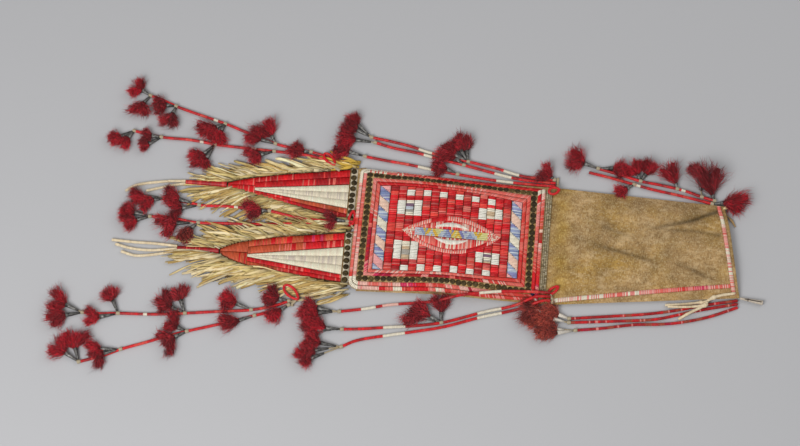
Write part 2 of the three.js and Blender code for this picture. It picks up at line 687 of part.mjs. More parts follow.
// Each pendant: its route from the bag outwards, and its tassels as
// [distance along the thong, [[heading, reach to the tuft's middle, extra height], ...]].
const END = Infinity;
const PENDANTS = {
  upper_tab_pendant_1: [
    [[-152, 94], [-164, 98], [-193, 104], [-215, 107], [-258, 121], [-283, 130], [-346, 149],
      [-368, 158], [-382, 162]],
    [[71, [[121, 20], [170, 29]]], [138, [[-150, 22]]], [204, [[-179, 22], [-105, 20]]],
      [END, [[152, 22], [-123, 23]]]],
  ],
  upper_tab_pendant_2: [
    [[-152.6, 89, 1.8], [-164, 92.5, 1.4], [-177, 95.5, 0.4], [-212, 98], [-257, 100],
      [-291, 102], [-326, 106], [-360, 107], [-396, 113]],
    [[70, [[-154, 29, 3]]], [143, [[-130, 30]]], [210, [[-179, 22], [-141, 29]]],
      [END, [[-148, 29], [-119, 22]]]],
  ],
  panel_upper_pendant_1: [
    [[121.4, 86], [82, 88], [62, 92.5], [51, 95.5], [14, 102.5], [-21, 108.5], [-38, 112],
      [-55, 117], [-80, 122], [-106, 126]],
    [[0, [[105, 22]]], [108, [[127, 28], [102, 25], [158, 30]]], [END, [[140, 34], [158, 31]]]],
  ],
  panel_upper_pendant_2: [
    [[121.4, 81.7], [82, 83.3], [67, 85.3], [39, 91], [6, 98], [-20, 103], [-47, 109],
      [-79, 114], [-101, 119.5]],
    [[END, [[178, 35]]]],
  ],
  panel_upper_pendant_3: [
    [[121.4, 77.4], [74, 78.5], [42, 80.5], [3, 84.5], [-25, 88], [-57, 93], [-83, 96],
      [-112, 100]],
    [[119, [[158, 25]]], [END, [[170, 31]]]],
  ],
  mouth_upper_pendant_1: [
    [[314, 72.9], [295, 78], [277, 83.5], [247, 89], [225, 92], [198, 99], [172, 105]],
    [[13, [[111, 40], [83, 35]]], [47, [[131, 20]]], [92, [[68, 23], [121, 22]]],
      [END, [[160, 29], [5, 29]]]],
  ],
  mouth_upper_pendant_2: [
    [[312, 68.6], [296, 72], [267, 77.5], [240, 82], [217, 87], [187, 94], [161, 99]],
    [[0, [[0, 32]]], [97, [[-160, 22]]]],
  ],
  middle_pendant_1: [
    [[-108.7, 12], [-146, 11.5], [-173, 12], [-192, 14], [-219, 19], [-251, 21], [-274, 22],
      [-304, 21], [-315, 23], [-348, 27]],
    [[111, [[-166, 20]]], [197, [[-163, 32], [169, 36]]], [END, [[180, 36], [-165, 24]]]],
  ],
  middle_pendant_2: [
    [[-108.7, 6.5], [-125, 6.5, 1], [-150, 6.5, 2.2], [-170, 6.5, 2.2], [-229, 1, 2.2],
      [-271, -1, 2.2], [-304, -2, 1], [-344, 3], [-363, 2]],
    [[195, [[-173, 37]]], [END, [[172, 30], [-158, 27]]]],
  ],
  lower_tab_pendant_1: [
    [[-184.2, -92], [-201, -99.5], [-229, -107], [-268, -112], [-306, -117], [-342, -121],
      [-385, -123], [-407, -125], [-427, -125]],
    [[47, [[167, 25]]], [125, [[162, 28], [113, 28]]], [203, [[119, 28], [-162, 33]]],
      [END, [[160, 33], [-164, 31]]]],
  ],
  lower_tab_pendant_2: [
    [[-184.2, -97], [-199, -105], [-225, -114], [-263, -127], [-301, -139], [-327, -148],
      [-347, -156], [-376, -167], [-395, -176], [-423, -186]],
    [[43, [[-155, 30]]], [124, [[162, 22], [-147, 27]]], [204, [[-175, 34], [-153, 33]]],
      [END, [[152, 30], [112, 28]]]],
  ],
  panel_lower_pendant_1: [
    [[120.9, -63.5, 9.9], [116, -63.6, 11.6], [68, -65.5, 11.6], [40, -69.5, 11.6],
      [15, -74.5, 11.6], [4, -77.8, 11], [-10, -80.5, 5], [-24, -82.5, 1.2], [-40, -84.5, 0.2],
      [-69, -89], [-95, -95.5], [-126, -101.5]],
    [[END, [[177, 37], [-170, 36]]]],
  ],
  panel_lower_pendant_2: [
    [[120.9, -68, 9.9], [116, -68.3, 11.6], [104, -69.5, 11.6], [95, -73.8, 11.4],
      [84, -78.5, 6], [69, -82.5, 1.2], [55, -86, 0.2], [42, -90], [-2, -105.5], [-36, -112.5],
      [-63, -116], [-99, -121], [-121, -123]],
    [[134, [[168, 34], [155, 26]]], [END, [[-172, 40], [-178, 30]]]],
  ],
  panel_lower_pendant_3: [
    [[120.9, -72.5, 9], [116, -73, 11], [108, -75.2, 10.5], [97, -79, 6], [84, -83.3, 1.5],
      [70, -87.5, 0.3], [41, -96], [-1, -111], [-33, -119], [-64, -126], [-103, -136], [-120, -145]],
    [[END, [[-166, 42], [-153, 49], [175, 35]]]],
  ],
  mouth_lower_pendant_1: [
    [[342, -52.6], [298, -62.5], [271, -70], [238, -77], [181, -85], [144, -90]],
    [[END, [[165, 24]]]],
  ],
  mouth_lower_pendant_2: [
    [[342, -56.9], [298, -68], [251, -82], [238, -84.5], [181, -91], [144, -95]],
    [[END, [[176, 41]]]],
  ],
  mouth_lower_pendant_3: [
    [[342, -61.2], [307, -76], [275, -85], [251, -89], [220, -92], [184, -99], [152, -104]],
    [[END, [[-178, 40], [-166, 33]]]],
  ],
};

for (const [name, [points, tassels]] of Object.entries(PENDANTS)) {
  piece(name, pendant(points, tassels), TUFT_HAIR());
}

// Bare hide thongs at the tabs' tips and the mouth's lower corner
const TIES = {
  upper_tip_thong_1: [[-325, 51.6], [-350, 49], [-385, 41], [-396, 33]],
  upper_tip_thong_2: [[-325, 48.4], [-349, 42], [-371, 35]],
  lower_tip_thong_1: [[-325, -33.2], [-352, -32], [-376, -32], [-404, -31]],
  lower_tip_thong_2: [[-325, -36.4], [-357, -41], [-381, -40], [-399, -36]],
  lower_tip_thong_3: [[-325, -39.6], [-356, -47], [-374, -49], [-391, -45]],
  mouth_tie_long: [[338, -46, 6.6], [322, -49.5, 6.2], [312, -53.2, 5.6], [304, -57.5, 2.5],
    [293, -59.3, 0.3], [274, -62.5], [257, -64.5]],
  mouth_tie_short: [[306, -60.5, 4.4], [298, -66, 4.4], [286, -73, 4.4], [273, -81, 0.5]],
};

for (const [name, points] of Object.entries(TIES)) {
  piece(name, cord(routeOf(points, TIE), TIE), STRAW_HIDE());
}

// Quill-wrapped loops that carry the pendants
const upperLoopX = panelHeadX + UPPER_LOOP_REACH;
const lowerLoopX = panelHeadX + LOWER_LOOP_REACH;
const LOOPS = {
  upper_head_loop: [[upperLoopX, 66, 8.3], [upperLoopX, 71, 7.3], [upperLoopX, 77.3, 2.8],
    [upperLoopX, 81, 0.4], [upperLoopX, 88.5, 0.2]],
  lower_head_loop: [[lowerLoopX, -60, 8.3], [lowerLoopX, -66, 8.3], [lowerLoopX, -71, 7.4],
    [lowerLoopX, -75, 6]],
  upper_foot_loop: [[-140, 78, 2.4], [-147, 81, 2.4], [-149.4, 87, 2.4], [-149.4, 97, 1.2]],
  lower_foot_loop: [[-158, -60, 2.4], [-168, -72, 2.4], [-178, -84, 2.4], [-181, -91, 1.6],
    [-181, -99, 0.4]],
};

for (const [name, points] of Object.entries(LOOPS)) {
  piece(name, cord(routeOf(points, LOOP), LOOP), RED_QUILL());
}

// Tin cone sewn to the lower corner of the mouth
const mouthCorner = pouchTop(swell.at(-1), -1);
const cornerProfile = [
  [0, 0], [CONE_NECK / 2, 0], [CONE_MOUTH / 2, CORNER_CONE], [0, CORNER_CONE],
];
const cornerFrom = v3(mouthCorner.x + 2 * SEWN_GAP, mouthCorner.y, CONE_MOUTH / 2 + FLOOR_GAP);
piece("mouth_corner_cone", turned(cornerProfile, cornerFrom, v3(1, 0, 0), ROUND_SIDES), TIN());

export default bag;
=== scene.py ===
"""A quilled hide tobacco bag lying flat on its back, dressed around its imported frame."""
import math

import bpy
import numpy as np
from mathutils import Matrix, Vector


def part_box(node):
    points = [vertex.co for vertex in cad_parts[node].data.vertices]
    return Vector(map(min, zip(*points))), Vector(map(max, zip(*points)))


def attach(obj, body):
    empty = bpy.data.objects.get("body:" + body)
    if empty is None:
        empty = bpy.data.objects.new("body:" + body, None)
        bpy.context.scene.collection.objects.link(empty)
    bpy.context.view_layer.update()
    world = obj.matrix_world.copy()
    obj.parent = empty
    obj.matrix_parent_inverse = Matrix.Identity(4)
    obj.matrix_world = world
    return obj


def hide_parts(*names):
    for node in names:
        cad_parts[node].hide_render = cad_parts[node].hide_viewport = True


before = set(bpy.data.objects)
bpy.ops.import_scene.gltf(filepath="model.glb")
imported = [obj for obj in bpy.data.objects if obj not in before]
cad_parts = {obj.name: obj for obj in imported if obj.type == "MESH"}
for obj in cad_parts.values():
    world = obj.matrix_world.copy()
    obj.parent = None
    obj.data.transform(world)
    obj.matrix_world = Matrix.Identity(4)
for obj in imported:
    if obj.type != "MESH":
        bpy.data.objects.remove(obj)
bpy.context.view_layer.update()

MM = 0.001
DEGREE = math.pi / 180
TURN = 2 * math.pi
END = math.inf
random = np.random.default_rng(1890)

# View
IMAGE_WIDTH = 800
IMAGE_HEIGHT = 446
ORIGIN_PIXEL = (451.0, 239.7)
PIXEL = 1.2 * MM
LENS = 85
SENSOR = 36
AZIMUTH = 4.3 * DEGREE
ELEVATION = 68 * DEGREE

# Light: each lamp's place, size and power, and the strength of the sky
LAMPS = {
    "key": ((-0.85, -1.25, 1.62), 1.1, 35),
    "fill": ((1.2, 0.9, 1.6), 1.4, 9),
}
SKY = 0.42
FLOOR_HALF = 10

# Pouch
HIDE = 1.6 * MM
POUCH_FOOT_X = -108 * MM
POUCH_HALF = 75 * MM
FOOT_HEIGHT = 3.2 * MM
FOOT_SLOPE = 12 * MM
SEAT_HEIGHT = 8 * MM
EDGE_HEIGHT = 3.6 * MM
SWELL_X = 120.9 * MM
SWELL_HEIGHT = 14 * MM
MOUTH_X = 331.5 * MM
MOUTH_HALF = 58 * MM
MOUTH_HEIGHT = 11 * MM
MOUTH_SHIFT = 8 * MM
MOUTH_SLANT = 25 * MM
MOUTH_STRETCH = 6 * MM
LINING_FOOT_X = -100 * MM
# Where the lower edge is drawn in under the panel: its middle, its reach and its depth
POUCH_DENT_X = -10 * MM
POUCH_DENT_REACH = 65 * MM
POUCH_DENT = 3 * MM
# Height of the soft hide's swells, and the yellow stain beside the panel's head
POUCH_RIPPLE = 1.1 * MM
STAIN_X = 131 * MM
STAIN_REACH = 11 * MM

# Quilled panel, about its own middle
PANEL_X = -3 * MM
PANEL_Y = 3.2 * MM
PANEL_TURN = -1.1 * DEGREE
PANEL_TOP = 9.9 * MM
PANEL_LENGTH = 229 * MM
PANEL_FOOT_HALF = 80 * MM
PANEL_HEAD_HALF = 71.5 * MM
FOOT_CORNER = 13 * MM
HEAD_CORNER = 3 * MM
MARGIN = 1 * MM
GAP = 0.3 * MM
BORDER_LANE = 4.4 * MM
SEQUIN = 7.2 * MM
SEQUIN_PITCH = 6.9 * MM
FRAME_LANE = 4.6 * MM
TRIANGLE_BAND = 12.4 * MM
FIELD_LANES = 15
EYE_HALF_LENGTH = 60 * MM
# Eye: shift along the panel, and half width above and below
EYE_X = 3.5 * MM
EYE_HALF_WIDTHS = {1: 19.5 * MM, -1: 25 * MM}
HEAD_STRIP = 7 * MM
QUILL = 1.3 * MM

# Tabs
TAB_ROOT_X = -108.3 * MM
TAB_LENGTH = 166 * MM
TAB_TIP_HALF = 3.5 * MM
TAB_SEQUIN_X = 14 * MM
TAB_LANES_X = 19 * MM
WEDGE_TIP_X = 132 * MM
WEDGE_TIP_Y = -3 * MM
WEDGE_TIP_HALF = 1.5 * MM
WEDGE_GAP = 0.4 * MM
TAB_EDGE = 1.4 * MM
TAB_TIP_EDGE = 1.2 * MM
TAB_UNDERSIDE = 0.05 * MM
TAB_RIPPLE = 0.35 * MM
TAB_ROWS = 60
TAB_COLUMNS = 21
# Mean of a tab's swell over its length, as a share of the most that it could add
MEAN_SWELL = 0.375
NECK_LENGTH = 50 * MM
NECK_RADII = (4 * MM, 2.8 * MM)
NECK_FLAT = 0.85
# Each tab: y of its middle line, then for its upper and lower edge the reach at the root and
# how much the edge swells out towards the tip, and where the wedge meets the root
TABS = {
    "upper_tab": (50 * MM, {1: (35 * MM, 6.3 * MM), -1: (40 * MM, 0)}, (11 * MM, -20 * MM)),
    "lower_tab": (-36 * MM, {1: (38 * MM, 12 * MM), -1: (31.5 * MM, 13 * MM)}, (16 * MM, -19 * MM)),
}

# Thongs
THONG = 3.8 * MM
TIE = 3.4 * MM
LOOP = 3.4 * MM
FLOOR_GAP = 0.1 * MM
# Height of a tuft's middle, and the share of a thong beyond its end knots
TUFT_RISE = 5.85 * MM
KNOT_MARGIN = 0.005
# Steps of a route between two of its points
CURVE_STEPS = 24


def dye(red, green, blue):
    """Scene-linear colour of an sRGB one that is written from 0 to 255."""
    share = np.array((red, green, blue)) / 255
    return np.where(share <= 0.04045, share / 12.92, ((share + 0.055) / 1.055) ** 2.4)


# Dyes
RED = dye(212, 10, 20)
BRIGHT = dye(228, 20, 30)
DARK_RED = dye(178, 8, 18)
CRIMSON = dye(182, 12, 50)
MAGENTA = dye(226, 52, 98)
TOMATO = dye(230, 68, 56)
SALMON = dye(240, 114, 100)
PINK = dye(244, 150, 140)
BLUSH = dye(247, 194, 178)
CREAM = dye(246, 236, 212)
WHITE = dye(250, 246, 232)
ORANGE = dye(212, 92, 54)
RUST = dye(178, 70, 46)
PEACH = dye(250, 212, 188)
ROSE = dye(248, 176, 172)
TAN = dye(214, 186, 150)
GREY = dye(182, 176, 164)
PLUM = dye(134, 104, 126)
MIST = dye(204, 212, 220)
BLUE = dye(162, 174, 206)
DEEP_BLUE = dye(122, 136, 178)
VIOLET = dye(148, 148, 196)
NAVY = dye(30, 38, 76)
YELLOW = dye(240, 198, 76)
LEMON = dye(236, 230, 158)


# Camera, light and floor

def add_camera():
    """Puts the bag's origin on its pixel of the view, at the view's scale there."""
    back = Vector((
        math.sin(AZIMUTH) * math.cos(ELEVATION),
        -math.cos(AZIMUTH) * math.cos(ELEVATION),
        math.sin(ELEVATION),
    ))
    right = Vector((math.cos(AZIMUTH), math.sin(AZIMUTH), 0))
    up = back.cross(right)
    step = SENSOR / LENS / IMAGE_WIDTH
    aside = (ORIGIN_PIXEL[0] - IMAGE_WIDTH / 2) * step
    above = (IMAGE_HEIGHT / 2 - ORIGIN_PIXEL[1]) * step
    sight = right * aside + up * above - back
    distance = IMAGE_WIDTH * PIXEL * LENS / SENSOR
    camera = bpy.data.objects.new("camera", bpy.data.cameras.new("camera"))
    camera.data.lens = LENS
    camera.data.sensor_width = SENSOR
    camera.location = sight * (distance * back.z / sight.z)
    camera.rotation_mode = "QUATERNION"
    camera.rotation_quaternion = (-back).to_track_quat("-Z", "Y")
    bpy.context.collection.objects.link(camera)
    bpy.context.scene.camera = camera


def add_lamp(name, place, size, power):
    """A square soft box that faces the middle of the bag."""
    lamp = bpy.data.objects.new(name, bpy.data.lights.new(name, "AREA"))
    lamp.data.size = size
    lamp.data.energy = power
    lamp.location = place
    lamp.rotation_mode = "QUATERNION"
    lamp.rotation_quaternion = (-Vector(place)).to_track_quat("-Z", "Y")
    bpy.context.collection.objects.link(lamp)


# Shader nodes

class Wire:
    """A socket that Python's operators can work on; each adds a Math node."""

    def __init__(self, nodes, socket):
        self.nodes = nodes
        self.socket = socket

    def work(self, operation, first, second):
        return self.nodes.node("ShaderNodeMath", {"operation": operation}, {0: first, 1: second})

    def __add__(self, other):
        return self.work("ADD", self, other)

    def __sub__(self, other):
        return self.work("SUBTRACT", self, other)

    def __rsub__(self, other):
        return self.work("SUBTRACT", other, self)

    def __mul__(self, other):
        return self.work("MULTIPLY", self, other)

    __radd__ = __add__
    __rmul__ = __mul__


class Nodes:
    """The shader nodes of a material or of the world."""

    def __init__(self, owner):
        owner.use_nodes = True
        self.tree = owner.node_tree

    def feed(self, socket, value):
        if isinstance(value, Wire):
            self.tree.links.new(value.socket, socket)
        elif socket.type == "RGBA":
            socket.default_value = (*value, 1)
        else:
            socket.default_value = value

    def node(self, kind, settings=None, inputs=None, output=0):
        """One node: its settings first, then its sockets' values or links."""
        made = self.tree.nodes.new(kind)
        for name, value in (settings or {}).items():
            if name == "stops":
                self.set_stops(made.color_ramp, value)
            else:
                setattr(made, name, value)
        for key, value in (inputs or {}).items():
            self.feed(made.inputs[key], value)
        return Wire(self, made.outputs[output])

    def set_stops(self, ramp, stops):
        while len(ramp.elements) < len(stops):
            ramp.elements.new(1)
        for element, (place, colour) in zip(ramp.elements, stops):
            element.position = place
            element.color = (*colour, 1)

    def mix(self, factor, first, second, blend="MIX"):
        settings = {"data_type": "RGBA", "blend_type": blend}
        return self.node("ShaderNodeMix", settings, {0: factor, 6: first, 7: second}, 2)

    def times(self, first, second):
        return self.mix(1, first, second, "MULTIPLY")

    def ramp(self, factor, *stops):
        return self.node("ShaderNodeValToRGB", {"stops": stops}, {0: factor})

    def mask(self, factor, low, high, most):
        """Rises from nothing at the low value to its most at the high one."""
        return self.ramp(factor, (low, (0, 0, 0)), (high, (most, most, most)))


class Finish(Nodes):
    """A material: its shader, the place on the object and the dye painted on the mesh, which also holds
    painted shade and painted highlights.
    """

    def __init__(self, name, constants):
        self.material = bpy.data.materials.new(name)
        super().__init__(self.material)
        self.shader = self.tree.nodes["Principled BSDF"]
        for socket, value in constants.items():
            self.set(socket, value)
        self.place = self.node("ShaderNodeTexCoord", output="Object")
        # The mesh's 'dye' colour holds the dyes together with painted shade and painted highlights
        self.painted = self.node("ShaderNodeVertexColor", {"layer_name": "dye"})

    def set(self, socket, value):
        self.feed(self.shader.inputs[socket], value)

    def noise(self, scale, detail=2, roughness=0.5, stretch=(1, 1, 1)):
        """Even noise, in features of about 1 / scale metres, drawn out along an axis."""
        place = self.place
        if stretch != (1, 1, 1):
            place = self.node(
                "ShaderNodeVectorMath", {"operation": "MULTIPLY"}, {0: place, 1: stretch})
        values = {"Vector": place, "Scale": scale, "Detail": detail, "Roughness": roughness}
        return self.node("ShaderNodeTexNoise", {}, values)

    def bump(self, height, strength, distance):
        values = {"Height": height, "Strength": strength, "Distance": distance}
        self.set("Normal", self.node("ShaderNodeBump", {}, values))


def suede_finish():
    """Mottled tan suede with a nap, lighter flecks and yellowed areas."""
    finish = Finish("suede", {"Specular IOR Level": 0.15, "Sheen Weight": 0.12})
    patches = finish.noise(17, 3, 0.55)
    clouds = finish.noise(42, 4, 0.6)
    scuffs = finish.noise(95, 4, 0.65, (0.6, 1.2, 1))
    mottle = finish.noise(260, 6, 0.7)
    strokes = finish.noise(760, 3, 0.6, (0.4, 1, 1))
    cross_strokes = finish.noise(760, 3, 0.6, (1, 0.4, 1))
    nap = finish.noise(1700, 2)
    tan = finish.ramp(
        mottle, (0.32, dye(144, 113, 72)), (0.5, dye(163, 131, 87)), (0.68, dye(180, 149, 104)))
    yellow = finish.ramp(mottle, (0.34, dye(150, 114, 54)), (0.66, dye(184, 148, 78)))
    patchy = finish.mask(patches, 0.44, 0.66, 0.9)
    ground = finish.mix(patchy, tan, yellow)
    rubbed = finish.mask(scuffs, 0.5, 0.66, 0.7)
    lighter = finish.mix(rubbed, ground, dye(202, 172, 128))
    shaded = finish.ramp(clouds, (0.32, (0.68, 0.67, 0.65)), (0.66, (1.18, 1.18, 1.17)))
    cloudy = finish.times(lighter, shaded)
    flecks = finish.mask(0.5 * (strokes + cross_strokes), 0.5, 0.62, 0.5)
    pits = finish.mask(strokes - cross_strokes, 0.05, 0.2, 0.5)
    pitted = finish.mix(pits, cloudy, dye(112, 84, 50))
    flecked = finish.mix(flecks, pitted, dye(208, 186, 144))
    # The colour painted on the mesh brings painted shade in the creases and under the quills, and the
    # yellow stain
    finish.set("Base Color", finish.times(flecked, finish.painted))
    finish.set("Roughness", 0.84 + 0.14 * nap)
    finish.bump(0.5 * mottle + 0.4 * strokes + 0.3 * nap, 0.4, 1 * MM)
    return finish


def straw_finish():
    """Pale dry hide, cut in strips: streaks along the bag and a little grime."""
    finish = Finish("straw hide", {"Specular IOR Level": 0.25})
    streaks = finish.noise(900, 3, 0.6, (0.22, 1, 1))
    grime = finish.noise(60, 3, 0.6)
    dark = finish.times(finish.painted, dye(196, 178, 140))
    streaky = finish.mix(0.75 * streaks, finish.painted, dark)
    stained = finish.mask(grime, 0.52, 0.74, 0.5)
    finish.set("Base Color", finish.mix(stained, streaky, dye(150, 122, 74)))
    finish.set("Roughness", 0.68 + 0.24 * streaks)
    finish.bump(streaks, 0.5, 0.8 * MM)
    return finish


def quill_finish():
    """Dyed quills, folded flat: satin, with fine streaks and wear in the dye."""
    finish = Finish("quill", {"Specular IOR Level": 0.42})
    streaks = finish.noise(1300, 2, 0.6)
    wear = finish.noise(210, 3, 0.6)
    faded = finish.mix(0.14, finish.painted, dye(240, 200, 180))
    worn = finish.mask(wear, 0.56, 0.78, 0.8)
    ground = finish.mix(worn, finish.painted, faded)
    shade = finish.ramp(streaks, (0.3, (0.72, 0.72, 0.72)), (0.6, (1, 1, 1)))
    finish.set("Base Color", finish.times(ground, shade))
    finish.set("Roughness", 0.36 + 0.22 * streaks)
    finish.bump(streaks, 0.35, 0.5 * MM)
    return finish


def metal_finish(name, bright, tarnish, metallic):
    """Dull metal with cloudy tarnish."""
    finish = Finish(name, {"Metallic": metallic})
    clouds = finish.noise(380, 4, 0.65)
    scratches = finish.noise(1600, 2, 0.6, (1, 0.3, 1))
    ground = finish.ramp(clouds, (0.36, tarnish), (0.66, bright))
    finish.set("Base Color", finish.times(ground, finish.painted))
    finish.set("Roughness", 0.34 + 0.22 * clouds + 0.12 * scratches)
    finish.bump(clouds + 0.5 * scratches, 0.25, 0.4 * MM)
    return finish


def tuft_finish():
    """Dyed hair: matt, with a soft edge of light."""
    finish = Finish("tuft hair", {"Specular IOR Level": 0.2, "Sheen Weight": 0.1})
    clumps = finish.noise(420, 2)
    dark = finish.times(finish.painted, dye(170, 150, 150))
    finish.set("Base Color", finish.mix(clumps, dark, finish.painted))
    finish.set("Roughness", 0.7 + 0.2 * clumps)
    return finish


def sinew_finish():
    """Sinew and thread: pale, waxy and fibrous."""
    finish = Finish("sinew", {"Specular IOR Level": 0.4})
    fibres = finish.noise(1200, 3, 0.6)
    dark = finish.times(finish.painted, dye(170, 150, 120))
    finish.set("Base Color", finish.mix(fibres, finish.painted, dark))
    finish.set("Roughness", 0.5 + 0.3 * fibres)
    finish.bump(fibres, 0.4, 0.5 * MM)
    return finish


FLOOR_COLOUR = dye(178, 178, 180)


def add_floor():
    """A plain pale floor, wide enough to fill every view."""
    mesh = bpy.data.meshes.new("floor")
    signs = ((-1, -1), (1, -1), (1, 1), (-1, 1))
    corners = [(x * FLOOR_HALF, y * FLOOR_HALF, 0) for x, y in signs]
    mesh.from_pydata(corners, [], [(0, 1, 2, 3)])
    floor = bpy.data.objects.new("floor", mesh)
    floor.location.z = -FLOOR_GAP
    finish = Finish("floor", {"Base Color": FLOOR_COLOUR, "Roughness": 0.9})
    mesh.materials.append(finish.material)
    bpy.context.collection.objects.link(floor)


def add_sky(strength):
    """Even light from all around, which shows as the floor's own colour."""
    world = bpy.data.worlds.new("studio")
    bpy.context.scene.world = world
    sky = Nodes(world)
    rays = ("Is Camera Ray", "Is Glossy Ray", "Is Transmission Ray")
    camera, glossy, through = (sky.node("ShaderNodeLightPath", output=ray) for ray in rays)
    light = sky.node(
        "ShaderNodeBackground", {}, {"Color": (1, 1, 1), "Strength": strength})
    backdrop = sky.node(
        "ShaderNodeBackground", {}, {"Color": FLOOR_COLOUR, "Strength": 1})
    mixed = sky.node("ShaderNodeMixShader", {}, {0: camera + glossy + through, 1: light, 2: backdrop})
    sky.feed(sky.tree.nodes["World Output"].inputs["Surface"], mixed)


bpy.context.scene.view_settings.view_transform = "Standard"
add_camera()
for lamp, setting in LAMPS.items():
    add_lamp(lamp, *setting)
add_sky(SKY)
add_floor()

SUEDE = suede_finish()
STRAW = straw_finish()
QUILLS = quill_finish()
SEQUINS = metal_finish("sequin", dye(128, 106, 58), dye(66, 52, 24), 0.6)
TIN = metal_finish("tin", dye(176, 175, 173), dye(66, 65, 66), 0.7)
TUFTS = tuft_finish()
SINEW = sinew_finish()


# Meshes

class Bundle:
    """Points, dyes and faces gathered for one piece."""

    def __init__(self):
        self.points = []
        self.dyes = []
        self.faces = []
        self.smooth = []
        self.count = 0

    def add(self, points, dyes, *faces, smooth=True):
        """Adds points with their dyes, and arrays of faces that count from these points."""
        points = np.asarray(points, float).reshape(-1, 3)
        dyes = np.asarray(dyes, float)
        dyes = np.broadcast_to(dyes, points.shape) if dyes.ndim == 1 else dyes.reshape(-1, 3)
        self.points.append(points)
        self.dyes.append(dyes)
        for group in faces:
            self.faces.append(np.asarray(group) + self.count)
            self.smooth.append(smooth)
        self.count += len(points)

    def add_faces(self, group, smooth):
        """Adds faces on the points that were added last."""
        self.faces.append(np.asarray(group) + self.count - len(self.points[-1]))
        self.smooth.append(smooth)

    def make(self, name, finish, slot, *nodes):
        """The piece, on the bag's one body, standing for the nodes that it replaces."""
        points = np.concatenate(self.points).astype(np.float32)
        dyes = np.concatenate(self.dyes)
        corners = np.concatenate([group.ravel() for group in self.faces])
        sizes = np.concatenate([np.full(len(group), group.shape[1]) for group in self.faces])
        smooth = np.concatenate(
            [np.full(len(group), soft) for group, soft in zip(self.faces, self.smooth)])
        mesh = bpy.data.meshes.new(name)
        mesh.vertices.add(len(points))
        mesh.vertices.foreach_set("co", points.ravel())
        mesh.loops.add(len(corners))
        mesh.loops.foreach_set("vertex_index", corners.astype(np.int32))
        mesh.polygons.add(len(sizes))
        mesh.polygons.foreach_set("loop_start", (np.cumsum(sizes) - sizes).astype(np.int32))
        mesh.polygons.foreach_set("use_smooth", smooth)
        mesh.update(calc_edges=True)
        # The 'dye' attribute holds each piece's dyes with their painted shade and painted highlights
        paint = mesh.color_attributes.new("dye", "FLOAT_COLOR", "POINT")
        painted = np.column_stack([np.clip(dyes, 0, 1), np.ones(len(dyes))])
        paint.data.foreach_set("color", painted.astype(np.float32).ravel())
        mesh.materials.append(finish.material)
        piece = bpy.data.objects.new(name, mesh)
        bpy.context.collection.objects.link(piece)
        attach(piece, "root")
        if nodes:
            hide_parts(*nodes)
        return piece


def skin(rows, columns, closed=True):
    """Quads of a grid of points; a closed one joins its last column to its first."""
    across = np.arange(columns if closed else columns - 1)
    starts = np.arange(rows - 1)[:, None] * columns
    here = (starts + across).ravel()
    beside = (starts + (across + 1) % columns).ravel()
    return np.column_stack([here, here + columns, beside + columns, beside])


def loft(bundle, rings, dyes):
    """Closed skin through rings of points, with a hub in the first and in the last ring."""
    rings = np.asarray(rings)
    rows, columns = rings.shape[:2]
    dyes = np.broadcast_to(dyes, rings.shape)
    hubs = np.stack([rings[0].mean(0), rings[-1].mean(0)])
    hub_dyes = np.stack([dyes[0].mean(0), dyes[-1].mean(0)])
    points = np.concatenate([rings.reshape(-1, 3), hubs])
    paint = np.concatenate([dyes.reshape(-1, 3), hub_dyes])
    around = np.arange(columns)
    after = (around + 1) % columns
    last = (rows - 1) * columns
    first_hub = np.full(columns, rows * columns)
    start_fan = np.column_stack([first_hub, around, after])
    end_fan = np.column_stack([first_hub + 1, last + after, last + around])
    bundle.add(points, paint, skin(rows, columns), start_fan, end_fan)


def unit(vectors):
    return vectors / np.linalg.norm(vectors, axis=-1, keepdims=True)


def sides_of(ahead):
    """Directions to the side of a way ahead and upwards from it."""
    side = unit(np.cross(ahead, (0, 0, 1)))
    return side, np.cross(side, ahead)


def smoothstep(values, low, high):
    share = np.clip((values - low) / (high - low), 0, 1)
    return share * share * (3 - 2 * share)


def tube(bundle, line, radii, dyes, sides=8, flat=1.0, twist=None):
    """Closed tube along a line of points; flat squeezes its height, twist turns its section."""
    side, rise = sides_of(unit(np.gradient(line, axis=0)))
    angles = np.arange(sides) * TURN / sides
    wide = np.cos(angles)[None, :, None]
    high = flat * np.sin(angles)[None, :, None]
    side, rise = side[:, None], rise[:, None]
    if twist is not None:
        cosine, sine = np.cos(twist)[:, None, None], np.sin(twist)[:, None, None]
        side, rise = side * cosine + rise * sine, rise * cosine - side * sine
    radii = np.broadcast_to(radii, len(line))[:, None, None]
    rings = line[:, None] + radii * (wide * side + high * rise)
    dyes = np.asarray(dyes, float)
    loft(bundle, rings, dyes[:, None] if dyes.ndim == 2 else dyes)


def jitter(count, spread):
    """Factors around one, a little lighter or darker."""
    return 1 + spread * random.standard_normal((count, 1))


# Thongs, tin cones and tufts

def travelled(line):
    """Distance along a line at each of its points."""
    return np.concatenate([[0], np.cumsum(np.linalg.norm(np.diff(line, axis=0), axis=1))])


def evenly(line, step):
    """The same line in equal steps of about the given length, and its whole length."""
    places = travelled(line)
    wanted = np.linspace(0, places[-1], max(round(places[-1] / step), 2) + 1)
    return np.column_stack([np.interp(wanted, places, line[:, i]) for i in range(3)]), places[-1]


